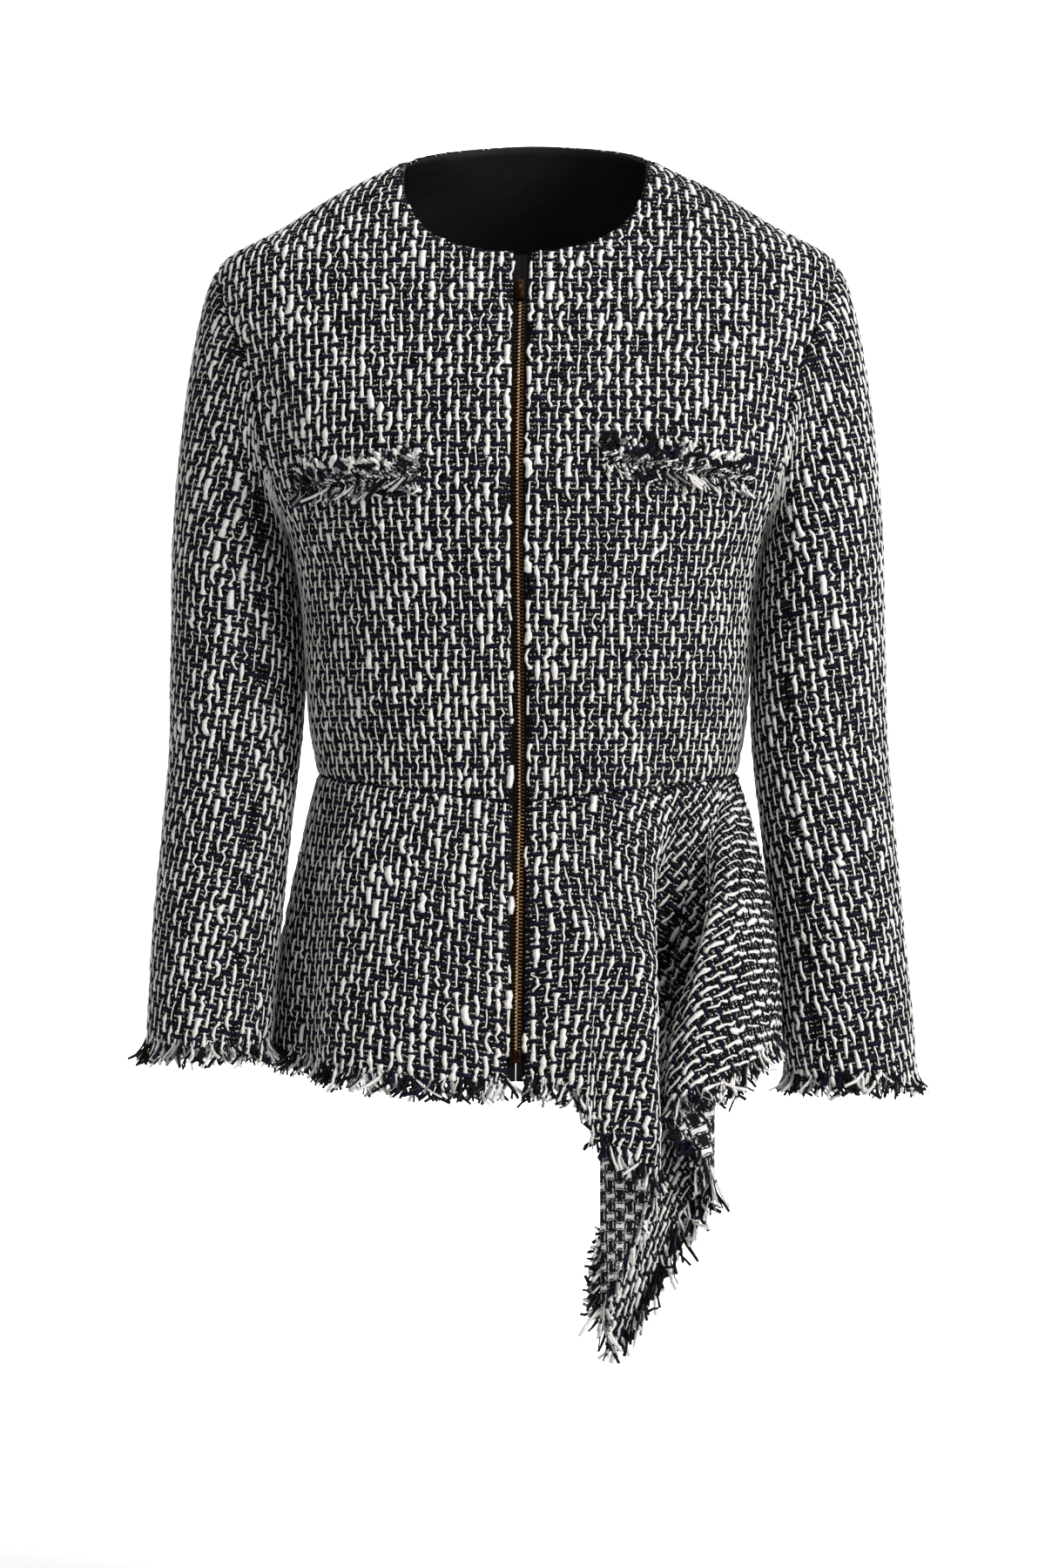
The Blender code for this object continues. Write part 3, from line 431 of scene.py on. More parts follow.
def peplum_surface(table, back, draped):
    """The peplum's surface over its hem's length u and its drop v; gives the hem's run too."""
    chord = travel(table[:, 1:])

    def surface(u, v):
        turn = np.radians(smooth(u, chord, table[:, 0]))
        hem = np.stack([flowing(u, chord, table[:, k]) for k in (1, 2, 3)], -1)
        waist = body(turn, waist_z(turn, back), back)
        if not draped:
            out = 1 - (1 - v) ** PEPLUM_BEND
            return waist + (hem - waist) * np.stack(np.broadcast_arrays(out, out, v), -1)
        slow, flare, edge, deep = (np.interp(np.degrees(turn), turns, (0, 1, 1, 0))
                                   for turns in (DRAPE_TURNS, FLARE_TURNS, EDGE_TURNS, VALLEY_TURNS))
        hang = np.clip(v * np.maximum((waist - hem)[..., 2] / FULL_DROP, 1), 0, 1)
        out = 1 - (1 - hang) ** (PEPLUM_BEND + flare)
        side = out * (1 - slow) + hang ** SIDE_LATE * slow
        side = side * (1 - edge) + (1 - (1 - hang) ** EDGE_BEND) * edge
        fore = out * (1 - deep) + hang ** FORE_LATE * deep
        return waist + (hem - waist) * np.stack(np.broadcast_arrays(side, fore, v), -1)

    return surface, chord


def peplum_grid(table, cols, rows, back=False, draped=False):
    """The peplum from the waist seam down: points, normals, distance across and down from the waist."""
    surface, chord = peplum_surface(table, back, draped)
    at = np.linspace(0, chord[-1], cols + 1)
    u, v = np.meshgrid(at, np.linspace(0, 1, rows + 1))
    inset = 1e-3
    p = surface(u, v)
    n = normals(surface, np.clip(u, inset * chord[-1], (1 - inset) * chord[-1]),
                np.clip(v, inset, 1 - inset), 1e-5, 1e-4)
    n *= np.sign(np.sum(n[0, :1] * (p[0, :1] * (1, 1, 0)), -1, keepdims=True))
    turn = np.radians(smooth(at, chord, table[:, 0]))
    n[0] = unit(outward(p[0], normals(lambda a, b: body(a, b, back), turn, p[0, :, 2])) * (1, 1, 0))
    drop = p[0, :, 2] - p[..., 2]
    settle = np.clip(drop / (DRAPE_SETTLE if draped else PLAIN_SETTLE), 0, 1)[..., None]
    n = unit(n[:1] * (1 - settle) + n * settle)
    if draped:
        for _ in range(2):
            n[:, 1:-1] = unit(n[:, :-2] + 2 * n[:, 1:-1] + n[:, 2:])
    lean = np.linspace(0, 1, rows + 1)[:, None]
    side = unit(SIDE_TOP * (1 - lean) + SIDE_HEM * lean)
    near = np.clip((np.arange(cols + 1) - cols + SIDE_COLS) / SIDE_COLS, 0, 1)[None, :, None]
    n = unit(n * (1 - near) + side[:, None] * near)
    return p, n, travel(p, 1), travel(p, 0)


def straight_grain(grid):
    p, n, across, down = grid
    girth = across[:, -1:]
    return p, n, across * np.sqrt(girth.mean() / girth), -down


def turned_grain(grid):
    """A quarter circle: the grain is upright at the middle front and level at the side seam."""
    p, n, across, down = grid
    top, mid = across[0], across[int(EVEN_ROW * len(across))]
    share = np.clip(np.linspace(0, 1, len(across)) / EVEN_SHARE, 0, 1)[:, None]
    angle = (math.pi / 2) * (top / top[-1] * (1 - share) + mid / mid[-1] * share)
    radius = WAIST_ARC / (math.pi / 2) + down
    return p, n, radius * np.sin(angle), -radius * np.cos(angle)


PEPLUM_RIGHT = straight_grain(peplum_grid(HEM_RIGHT, 48, 40))
PEPLUM_LEFT = turned_grain(peplum_grid(HEM_LEFT, 190, 72, draped=True))
PEPLUM_BACK = both_sides(straight_grain(peplum_grid(HEM_BACK[::-1], 48, 40, back=True)))
print("draped front:", PEPLUM_LEFT[0].shape, "flat reach", round(float(PEPLUM_LEFT[2].max()), 3), "m")

# %% [markdown]
# ## Shader maths
# Node trees are easier to read as sums. A Wire holds one socket, and plain arithmetic on it adds Math nodes;
# any other node comes from its one node method.

# %% The Wire class
class Wire:
    """A socket that takes part in arithmetic."""

    def __init__(self, tree, socket):
        self.tree, self.socket = tree, socket

    def node(self, kind, settings=None, out=0, **inputs):
        made = self.tree.nodes.new(kind)
        for key, value in (settings or {}).items():
            setattr(made, key, value)
        for key, value in inputs.items():
            spot = made.inputs[int(key[2:])] if key.startswith("in") else made.inputs[key.replace("_", " ")]
            if isinstance(value, Wire):
                self.tree.links.new(value.socket, spot)
            else:
                spot.default_value = value
        return Wire(self.tree, made.outputs[out])

    def math(self, operation, *others):
        return self.node("ShaderNodeMath", {"operation": operation},
                         **{f"in{k}": w for k, w in enumerate((self, *others))})

    def __add__(self, other): return self.math("ADD", other)
    __radd__ = __add__
    def __mul__(self, other): return self.math("MULTIPLY", other)
    __rmul__ = __mul__
    def __sub__(self, other): return self.math("SUBTRACT", other)
    def __rsub__(self, other): return self.math("MULTIPLY_ADD", -1.0, other)
    def __truediv__(self, other): return self.math("DIVIDE", other)
    def __abs__(self): return self.math("ABSOLUTE")
    def fraction(self): return self.math("FRACT")
    def below(self, edge, soft):
        """1 below an edge and 0 above it, over a soft width."""
        return self.node("ShaderNodeMapRange", {"interpolation_type": "SMOOTHSTEP"}, Value=self,
                         From_Min=edge - soft, From_Max=edge + soft, To_Min=1.0, To_Max=0.0)
    def noise(self, scale, detail=2.0, rough=0.5):
        return self.node("ShaderNodeTexNoise", Vector=self, Scale=scale, Detail=detail, Roughness=rough)
    def mix(self, share, other):
        """This colour, with a share of another laid over it."""
        return self.node("ShaderNodeMix", {"data_type": "RGBA"}, 2, in0=share, in6=self, in7=other)


def finish(name, rough, metal=0.0, colour=(0.5, 0.5, 0.5), gloss=0.5):
    """A new material with its constants set; gives the material, a first wire and its shader node."""
    made = bpy.data.materials.new(name)
    made.use_nodes = True
    shader = made.node_tree.nodes["Principled BSDF"]
    shader.inputs["Base Color"].default_value = (*colour, 1)
    shader.inputs["Roughness"].default_value = rough
    shader.inputs["Metallic"].default_value = metal
    shader.inputs["Specular IOR Level"].default_value = gloss
    place = made.node_tree.nodes.new("ShaderNodeTexCoord")
    return made, place, shader


def plug(shader, socket, wire):
    wire.tree.links.new(wire.socket, shader.inputs[socket])


def relief(shader, height, depth):
    plug(shader, "Normal", height.node("ShaderNodeBump", Height=height, Distance=depth, Strength=1.0))


def shade(wire, *stops):
    """A colour for a value, from stops of (place, colour)."""
    ramp = wire.tree.nodes.new("ShaderNodeValToRGB")
    points = ramp.color_ramp.elements
    while len(points) < len(stops):
        points.new(0.5)
    for point, (place, colour) in zip(points, stops):
        point.position, point.color = place, (*colour, 1)
    wire.tree.links.new(wire.socket, ramp.inputs[0])
    return Wire(wire.tree, ramp.outputs[0])


print("wires ready")

# %% [markdown]
# ## The cloth's finishes
# The ground of the weave is thick black yarn with flat navy weft and thin black-and-white marl beside it. The flat
# place in metres is the UV map, so the bars keep their real size on every panel. The wrong side, which shows where
# the draped corner turns over, is a finer grey basket.

# %% Cloth materials
PITCH, ROW = 0.0061, 0.0073          # between two white yarns, between two navy yarns


def flat_place(place, made):
    uv = Wire(made.node_tree, place.outputs["UV"])
    return uv, uv.node("ShaderNodeSeparateXYZ", in0=uv), uv.node("ShaderNodeSeparateXYZ", out=1, in0=uv)


def tweed_ground():
    made, place, shader = finish("tweed_ground", 0.95, gloss=0.05)
    uv, u, v = flat_place(place, made)
    x = u / PITCH + (uv.noise(120) - 0.5) * 0.5
    y = v / ROW + (uv.noise(150) - 0.5) * 0.4
    chunk = 1 - abs(x.fraction() - 0.5) * 2
    away = abs((y + 0.5).fraction() - 0.5)
    navy = (away * ROW).below(0.0011, 0.0003)
    drawn = uv.node("ShaderNodeMapping", Vector=uv, Scale=(1.0, 1.35, 1.0))
    twist = drawn.node("ShaderNodeTexVoronoi", {"voronoi_dimensions": "2D"}, Vector=drawn, Scale=520.0,
                       Randomness=0.85)
    twist = (twist + (uv.noise(900, 1) - 0.5) * 0.45).below(0.33, 0.05)
    beside = abs(away - 0.285).below(0.085, 0.025)
    speck = twist * beside * (1 - chunk).below(0.78, 0.1) * uv.noise(330, 1).below(0.58, 0.05)
    fibre = uv.noise(900, 3)
    ground = shade(fibre, (0.3, (0.0014, 0.0013, 0.0014)), (0.7, (0.0072, 0.0063, 0.0058)))
    ground = ground.mix(navy, shade(fibre, (0.3, (0.0024, 0.0024, 0.0056)), (0.72, (0.0096, 0.0100, 0.0240))))
    ground = ground.mix(speck, shade(fibre, (0.3, (0.50, 0.485, 0.465)), (0.7, (0.76, 0.74, 0.71))))
    plug(shader, "Base Color", ground)
    blob = uv.noise(330, 2)
    relief(shader, chunk * (0.4 + blob * 0.8) + navy * 0.35 + speck * 0.4 + fibre * 0.15, 0.0011)
    return made


def wrong_side(name, along=(1, 0), over=(0, 1)):
    """The back of the weave; along and over are its two directions on the flat cloth, skewed where it is pulled."""
    made, place, shader = finish(name, 0.95, gloss=0.12)
    uv, u, v = flat_place(place, made)
    x = (u * along[0] + v * along[1]) / PITCH + (uv.noise(190) - 0.5) * 0.3
    y = (u * over[0] + v * over[1]) / ROW * 1.15 + (uv.noise(210) - 0.5) * 0.3
    across, up = abs((x + 0.5).fraction() - 0.5), abs((y + 0.5).fraction() - 0.5)
    turn = abs(((x + 0.5).math("FLOOR") + (y + 0.5).math("FLOOR")) * 0.5)
    even = turn.fraction().below(0.25, 0.01)
    bar = across.below(0.44, 0.04) * (up - across * across * 0.6).below(0.19, 0.04) * even
    loop = abs(up - 0.37).below(0.055, 0.03) * even + abs(across - 0.31).below(0.065, 0.03) * (1 - even)
    loop = loop * uv.noise(420, 1).below(0.50, 0.06)
    fibre = uv.noise(900, 3)
    ground = shade(fibre, (0.3, (0.003, 0.003, 0.004)), (0.7, (0.013, 0.013, 0.017)))
    pale = shade(fibre, (0.3, (0.60, 0.59, 0.58)), (0.7, (0.88, 0.865, 0.85)))
    plug(shader, "Base Color", ground.mix((bar + loop).math("MINIMUM", 1.0), pale))
    relief(shader, bar * 0.7 + loop * 0.6 + fibre * 0.3, 0.0007)
    return made


def yarn(name, dark, pale):
    """Loose-spun yarn: streaks run along it, on its own UV map of length and turn."""
    made, place, shader = finish(name, 0.9, gloss=0.08)
    uv = Wire(made.node_tree, place.outputs["UV"])
    streak = uv.node("ShaderNodeMapping", Vector=uv, Scale=(220.0, 1.6, 1.0)).noise(3.0, 3)
    plug(shader, "Base Color", shade(streak, (0.34, dark), (0.64, pale)))
    relief(shader, streak, 0.0005)
    return made


def lining():
    made, place, shader = finish("black_lining", 0.6, gloss=0.25)
    uv, u, v = flat_place(place, made)
    rib = abs((v / 0.0006).fraction() - 0.5) + abs((u / 0.0006).fraction() - 0.5)
    cloud = uv.noise(60, 3)
    plug(shader, "Base Color", shade(cloud, (0.3, (0.0040, 0.0039, 0.0042)), (0.7, (0.0085, 0.0083, 0.0092))))
    plug(shader, "Roughness", 0.5 + cloud * 0.2)
    relief(shader, rib, 0.00012)
    return made


TWEED, LINING = tweed_ground(), lining()
WRONG = wrong_side("tweed_wrong_side")
PULLED = wrong_side("tweed_pulled_side", (0.431, 0.214), (-0.325, 1.007))
WHITE_YARN = yarn("white_slub", (0.62, 0.60, 0.572), (0.87, 0.85, 0.82))
NAVY_YARN = yarn("navy_weft", (0.0038, 0.0038, 0.0088), (0.0150, 0.0158, 0.0390))
BLACK_YARN = yarn("black_yarn", (0.0030, 0.0030, 0.0034), (0.0120, 0.0115, 0.0120))
MARL_YARN = yarn("marled_yarn", (0.0080, 0.0080, 0.0130), (0.46, 0.455, 0.46))
STRAND_YARNS = [WHITE_YARN, BLACK_YARN, NAVY_YARN, MARL_YARN]
print("cloth materials:", [m.name for m in (TWEED, WRONG, PULLED, LINING, *STRAND_YARNS)])

# %% [markdown]
# ## Shells
# Each panel becomes a thin closed shell: an outer face, an inner face and a rim. Soft folds are laid along short
# lines, each a trough or a ridge that fades at both ends, and a sewn edge rolls inwards, which draws the seams.
# Every piece rides the one body, has a material slot and, where it shows a node of the solids, stands for it.

# %% Shell helpers
def enlist(piece, node=None):
    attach(piece, "root")
    if node:
        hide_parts(node)


def new_piece(name, verts, faces, materials, face_material=None, uvs=None):
    """One joined mesh from arrays; uvs are given per vertex."""
    mesh = bpy.data.meshes.new(name)
    mesh.from_pydata(np.asarray(verts, float).tolist(), [],
                     faces.tolist() if isinstance(faces, np.ndarray) else faces)
    for each in materials:
        mesh.materials.append(each)
    if face_material is not None:
        mesh.polygons.foreach_set("material_index", np.asarray(face_material, np.int32))
    if uvs is not None:
        corner = np.zeros(len(mesh.loops), np.int32)
        mesh.loops.foreach_get("vertex_index", corner)
        layer = mesh.uv_layers.new(name="flat")
        layer.data.foreach_set("uv", np.asarray(uvs, np.float32)[corner].ravel())
    mesh.polygons.foreach_set("use_smooth", np.ones(len(mesh.polygons), bool))
    mesh.update()
    piece = bpy.data.objects.new(name, mesh)
    bpy.context.scene.collection.objects.link(piece)
    return piece


def triangles(piece):
    return sum(len(face.vertices) - 2 for face in piece.data.polygons)


def edge_run(p, axis):
    """Distance along the grid from its first and from its last line."""
    start = travel(p, axis)
    return start, np.take(start, [-1], axis) - start


def rolled(p, sewn, depth=0.0008, reach=0.0017):
    """How far the cloth sinks towards its sewn edges: t top row, b bottom row, l first and r last column."""
    (top, end), (left, right) = edge_run(p, 0), edge_run(p, 1)
    sink = np.zeros_like(top)
    for mark, run in (("t", top), ("b", end), ("l", left), ("r", right)):
        if mark in sewn:
            sink = np.maximum(sink, np.exp(-(run / reach) ** 2))
    return -depth * sink


def soft_folds(p, folds):
    """Troughs (depth below zero) and ridges along lines from one point to another, fading at their ends."""
    lift = np.zeros(p.shape[:2])
    for start, end, wide, depth in folds:
        start, end = np.array(start), np.array(end)
        way = end - start
        t = np.clip(((p - start) @ way) / (way @ way), 0, 1)
        gap = np.linalg.norm(p - (start + t[..., None] * way), axis=-1)
        lift += depth * np.exp(-(gap / wide) ** 2) * np.sin(np.pi * np.clip(t * 0.9 + 0.05, 0, 1)) ** 0.7
    return lift


def grid_normals(p, like):
    n = unit(np.cross(np.gradient(p, axis=1), np.gradient(p, axis=0)))
    return n * np.sign(np.sum(n * like, -1, keepdims=True) + 1e-12)


def shell(name, grid, inside, sewn="", folds=(), mirrored=False, wall=WALL, outside=None):
    """A closed shell of a panel's grid; gives the piece and the dressed grid."""
    p, n, u, v = grid
    p = p + n * (rolled(p, sewn) + soft_folds(p, folds))[..., None]
    inner = p - n * wall
    if mirrored:
        p, inner, n, u = flip(p), flip(inner), flip(n), -u
    rows, cols = p.shape[:2]
    back = rows * cols                    # first index of the inner face
    idx = np.arange(back).reshape(rows, cols)
    quad = np.stack((idx[:-1, :-1], idx[:-1, 1:], idx[1:, 1:], idx[1:, :-1]), -1).reshape(-1, 4)
    ring = np.concatenate((idx[0, :-1], idx[:-1, -1], idx[-1, :0:-1], idx[:0:-1, 0]))
    ahead = np.roll(ring, -1)
    rim = np.stack((ahead, ring, ring + back, ahead + back), -1)
    faces = np.concatenate((quad, quad[:, ::-1] + back, rim))
    i, j = rows // 2, cols // 2
    if np.cross(p[i, j + 1] - p[i, j], p[i + 1, j] - p[i, j]) @ n[i, j] < 0:
        faces = faces[:, ::-1]
    which = np.concatenate((np.zeros(len(quad)), np.ones(len(quad)), np.zeros(len(rim))))
    flat = np.stack((u, v), -1).reshape(-1, 2)
    piece = new_piece(name, np.concatenate((p.reshape(-1, 3), inner.reshape(-1, 3))), faces,
                      [outside or TWEED, inside], which, np.concatenate((flat, flat)))
    return piece, (p, grid_normals(p, n), u, v)


print("shell helpers ready")

# %% [markdown]
# ## A map from the flat cut to the worn cloth
# Yarn is planned on the flat cut, on a plain grid, and then laid on the worn panel. The map is a fine table over the
# flat cut that knows the worn point and its normal, so thousands of floats are placed at once.

# %% The cloth map
class ClothMap:
    STEP, FINEST = 0.001, 0.0008          # cell of the table, and the grid that fills it

    def __init__(self, grid):
        p, n, u, v = grid
        size = max(np.linalg.norm(np.diff(p, axis=axis), axis=-1).max() for axis in (0, 1))
        fine = max(2, math.ceil(size / self.FINEST))
        p, n, u, v = (self.finer(g, fine) for g in (p, n, u[..., None], v[..., None]))
        u, v = u[..., 0], v[..., 0]
        p_r, p_c = np.gradient(p, axis=0), np.gradient(p, axis=1)
        (u_r, u_c), (v_r, v_c) = np.gradient(u), np.gradient(v)
        area = u_r * v_c - u_c * v_r
        area = np.where(np.abs(area) < 1e-12, 1e-12, area)[..., None]
        by_u = (p_r * v_c[..., None] - p_c * v_r[..., None]) / area
        by_v = (p_c * u_r[..., None] - p_r * u_c[..., None]) / area
        self.low = np.array((u.min(), v.min())) - self.STEP
        cell = np.stack(((u - self.low[0]) / self.STEP, (v - self.low[1]) / self.STEP), -1)
        spot = np.rint(cell).astype(int)
        self.shape = tuple(spot.reshape(-1, 2).max(0) + 2)
        miss = cell - spot
        order = np.argsort(-np.sum(miss.reshape(-1, 2) ** 2, -1), kind="stable")
        index = (spot[..., 0] * self.shape[1] + spot[..., 1]).ravel()
        count = self.shape[0] * self.shape[1]
        self.point, self.normal, self.known = np.zeros((count, 3)), np.zeros((count, 3)), np.zeros(count, bool)
        place = (p - by_u * (miss[..., :1] * self.STEP) - by_v * (miss[..., 1:] * self.STEP)).reshape(-1, 3)
        self.point[index[order]] = place[order]
        self.normal[index[order]] = n.reshape(-1, 3)[order]
        self.known[index[order]] = True
        self.span = (u.min(), u.max(), v.min(), v.max())

    @staticmethod
    def finer(grid, fine):
        for axis in (0, 1):
            g = np.moveaxis(grid, axis, 0)
            t = np.linspace(0, len(g) - 1, (len(g) - 1) * fine + 1)
            i = np.minimum(t.astype(int), len(g) - 2)
            f = (t - i)[:, None, None]
            grid = np.moveaxis(g[i] * (1 - f) + g[i + 1] * f, 0, axis)
        return grid

    def at(self, u, v):
        """Points, normals and whether they lie on the panel."""
        a, b = (u - self.low[0]) / self.STEP, (v - self.low[1]) / self.STEP
        i = np.clip(np.floor(a).astype(int), 0, self.shape[0] - 2)
        j = np.clip(np.floor(b).astype(int), 0, self.shape[1] - 2)
        f, g = np.clip(a - i, 0, 1)[..., None], np.clip(b - j, 0, 1)[..., None]
        k = i * self.shape[1] + j
        corners = (k, k + self.shape[1], k + 1, k + self.shape[1] + 1)
        shares = ((1 - f) * (1 - g), f * (1 - g), (1 - f) * g, f * g)
        known = np.all([self.known[c] for c in corners], 0)
        known &= (a > 0) & (b > 0) & (a < self.shape[0]) & (b < self.shape[1])
        point = sum(self.point[c] * s for c, s in zip(corners, shares))
        normal = sum(self.normal[c] * s for c, s in zip(corners, shares))
        return point, unit(normal), known


# %% [markdown]
# ## Yarn
# A float is a short flat tube, wider or thinner as slub yarn is, that dives into the ground at both ends. All the
# floats of a panel are one joined mesh, worked out together as arrays.

# %% Yarn helpers
STREAK_SHIFT = 0.0137                     # between the streaks of one yarn and the next
SHORTEST, PROBE = 0.0025, 0.0015          # yarn kept at an edge; half the span that shows how far cloth is squeezed
FLOAT_RINGS, BAR_RINGS = np.array((0, 0.10, 0.30, 0.50, 0.70, 0.90, 1.0)), np.array((0, 0.5, 1.0))
BACK_RINGS = np.array((0, 0.12, 0.37, 0.63, 0.88, 1.0))          # fewer where the photo never looks
FLOAT_WIDE, FLOAT_TALL, FLOAT_LIFT = (0.00098, 0.00045, 0.0023), (0.00040, 0.0008), (-0.0002, 0.0009)
BAR_WIDE, BAR_TALL, BAR_LIFT = 0.00108, 0.00048, (0.0000, 0.0005)


def tubes(line, side, up, wide, tall, sides):
    """Closed tubes along lines (tube, ring, xyz); wide and tall are half sizes. Gives verts, faces and UVs."""
    count, rings = line.shape[:2]
    turn = 2 * np.pi * np.arange(sides) / sides + (np.pi / 2 if sides == 3 else 0)
    ring = (side[:, :, None] * (np.cos(turn)[:, None] * wide[:, :, None, None])
            + up[:, :, None] * (np.sin(turn)[:, None] * tall[:, :, None, None]))
    verts = (line[:, :, None] + ring).reshape(-1, 3)
    idx = np.arange(count * rings * sides).reshape(count, rings, sides)
    ahead = np.roll(idx, -1, 2)
    quads = np.stack((idx[:, :-1], ahead[:, :-1], ahead[:, 1:], idx[:, 1:]), -1).reshape(-1, 4)
    caps = np.concatenate((idx[:, 0, ::-1], idx[:, -1]))
    run = travel(line, 1) + np.arange(count)[:, None] * STREAK_SHIFT
    uv = np.stack(np.broadcast_arrays(run[:, :, None], np.arange(sides) / sides), -1).reshape(-1, 2)
    return verts, quads, caps, uv


def merged(groups):
    """Several groups of tubes as one."""
    base = np.cumsum([0] + [len(verts) for verts, _, _, _ in groups])
    parts = [(verts, quads + b, caps + b, uv) for b, (verts, quads, caps, uv) in zip(base, groups)]
    return tuple(np.concatenate(part) for part in zip(*parts))


def join_tubes(name, groups, materials, mirrored=False):
    """One piece from several groups of tubes, each with its own material."""
    verts, faces, which, uvs, base = [], [], [], [], 0
    order = slice(None, None, -1 if mirrored else 1)
    for k, (points, quads, caps, uv) in enumerate(groups):
        verts.append(flip(points) if mirrored else points)
        faces += (quads + base)[:, order].tolist() + (caps + base)[:, order].tolist()
        which += [k] * (len(quads) + len(caps))
        uvs.append(uv)
        base += len(points)
    return new_piece(name, np.concatenate(verts), faces, materials, which, np.concatenate(uvs))


def reach_of(cloth, u, v, du, dv, half, probes=9):
    """First and last share of a yarn's half length, from -1 to 1, that lie on the panel, and whether any does."""
    t = np.linspace(-1, 1, probes)
    known = cloth.at(u[:, None] + du * half[:, None] * t, v[:, None] + dv * half[:, None] * t)[2]
    first, last = known.argmax(1), probes - 1 - known[:, ::-1].argmax(1)
    return t[first], t[last], known.any(1)


def lattice(cloth, odd):
    """Flat centres of the yarns on every other crossing of the weave."""
    u0, u1, v0, v1 = cloth.span
    i, k = np.meshgrid(np.arange(math.floor(u0 / PITCH), math.ceil(u1 / PITCH) + 1),
                       np.arange(math.floor(v0 / ROW), math.ceil(v1 / ROW) + 1))
    pick = (i + k) % 2 == odd
    return i[pick] * PITCH, k[pick] * ROW


def lay(cloth, u, v, du, dv, half, sway, s, wide, tall, lift, sides):
    """Yarns laid on a panel from flat centres, along (du, dv), with rings at shares s, cut where the panel ends."""
    low, high, known = reach_of(cloth, u, v, du, dv, half)
    keep = known & ((high - low) * half > SHORTEST)
    u, v, half, low, high, sway, wide, tall = (g[keep] for g in (u, v, half, low, high, sway, wide, tall))
    one, two = (cloth.at(u + dv * d, v + du * d) for d in (-PROBE, PROBE))
    squeeze = np.clip(np.linalg.norm(one[0] - two[0], axis=-1) / (2 * PROBE), 0.55, 1.0)
    wide = wide * np.where(one[2] & two[2], squeeze, 1.0)[:, None]
    t = low[:, None] + (high - low)[:, None] * s
    drift = sway[:, :1] * np.sin(np.pi * t * 1.2 + sway[:, 2:3]) + sway[:, 1:2] * t
    drift += sway[:, :1] * 0.6 * np.sin(7.0 * t + 3 * sway[:, 2:3])
    point, normal, ok = cloth.at(u[:, None] + du * half[:, None] * t + dv * drift,
                                 v[:, None] + dv * half[:, None] * t + du * drift)
    whole = ok.all(1)
    point, normal, wide, tall = (g[whole] for g in (point, normal, wide, tall))
    end = np.abs(2 * s - 1)[None]
    line = point + normal * (lift[0] + lift[1] * (1 - end ** 5))[..., None]
    side = unit(np.cross(normal, unit(np.gradient(line, axis=1))))
    return tubes(line, side, normal, wide, tall * (1 - 0.3 * end ** 4), sides)


def sways(rng, count, bow, lean):
    """How each yarn wanders: its bow, its lean and where its wave starts."""
    return np.stack((rng.normal(0, bow, count), rng.normal(0, lean, count), rng.uniform(0, 6.3, count)), -1)


def weave(name, grid, seed, rings):
    """The white floats and navy bars of one panel."""
    rng = np.random.default_rng(seed)
    cloth = ClothMap(grid)
    u, v = lattice(cloth, 1)
    count = len(u)
    half = ROW * np.clip(rng.normal(0.86, 0.06, count), 0.62, 1.0)
    sway = sways(rng, count, 0.00045, 0.0004)
    wide = FLOAT_WIDE[0] * np.exp(rng.normal(0, 0.30, count))
    wide = np.clip(wide[:, None] * np.exp(rng.normal(0, 0.29, (count, len(rings)))), *FLOAT_WIDE[1:])
    for end, near in ((0, 1), (-1, -2)):
        wide[:, end] = wide[:, near] * rng.uniform(0.85, 1.35, count)
    tall = np.clip(wide * 0.5, *FLOAT_TALL)
    white = lay(cloth, u + rng.normal(0, 0.0004, count), v + rng.normal(0, 0.0005, count), 0, 1, half, sway,
                rings, wide, tall, FLOAT_LIFT, 4)
    u, v = lattice(cloth, 0)
    count = len(u)
    half = PITCH * np.clip(rng.normal(0.75, 0.06, count), 0.55, 0.92)
    sway = sways(rng, count, 0.0001, 0.0002)
    wide = np.repeat(BAR_WIDE * np.exp(rng.normal(0, 0.16, count))[:, None], len(BAR_RINGS), 1)
    navy = lay(cloth, u + rng.normal(0, 0.0003, count), v + rng.normal(0, 0.0002, count), 1, 0, half, sway,
               BAR_RINGS, wide, np.full_like(wide, BAR_TALL), BAR_LIFT, 3)
    return join_tubes(name, (white, navy), [WHITE_YARN, NAVY_YARN])


print("yarn helpers ready")

# %% [markdown]
# ## The panels
# Ten panels make the jacket. The fronts and the back carry a few soft pulls from the underarm, the sleeves crease a
# little at the elbow, and one deep valley parts the folds of the draped corner. The right-hand lists are on the
# left side too, because their panels are mirrored.

# %% Folds placed one by one
# each fold: from, to, half width, depth below zero or height above it
FRONT_FOLDS = {
    "left": (((0.1460, -0.010, -0.205), (0.1440, -0.006, -0.275), 0.014, 0.0009),
             ((0.150, -0.045, -0.215), (0.095, -0.108, -0.262), 0.009, -0.0016),
             ((0.148, -0.030, -0.245), (0.105, -0.090, -0.300), 0.010, -0.0014),
             ((0.140, -0.050, -0.330), (0.070, -0.098, -0.338), 0.009, -0.0013),
             ((0.165, -0.052, -0.085), (0.138, -0.090, -0.165), 0.011, -0.0022),
             ((0.110, -0.085, -0.352), (0.045, -0.100, -0.345), 0.008, 0.0012)),
    "right": (((0.151, -0.040, -0.210), (0.088, -0.112, -0.250), 0.010, -0.0018),
              ((0.146, -0.030, -0.262), (0.100, -0.092, -0.322), 0.009, -0.0013),
              ((0.135, -0.055, -0.338), (0.060, -0.098, -0.330), 0.009, -0.0014),
              ((0.166, -0.050, -0.080), (0.134, -0.094, -0.175), 0.012, -0.0024),
              ((0.120, -0.080, -0.300), (0.055, -0.103, -0.318), 0.010, 0.0011)),
}
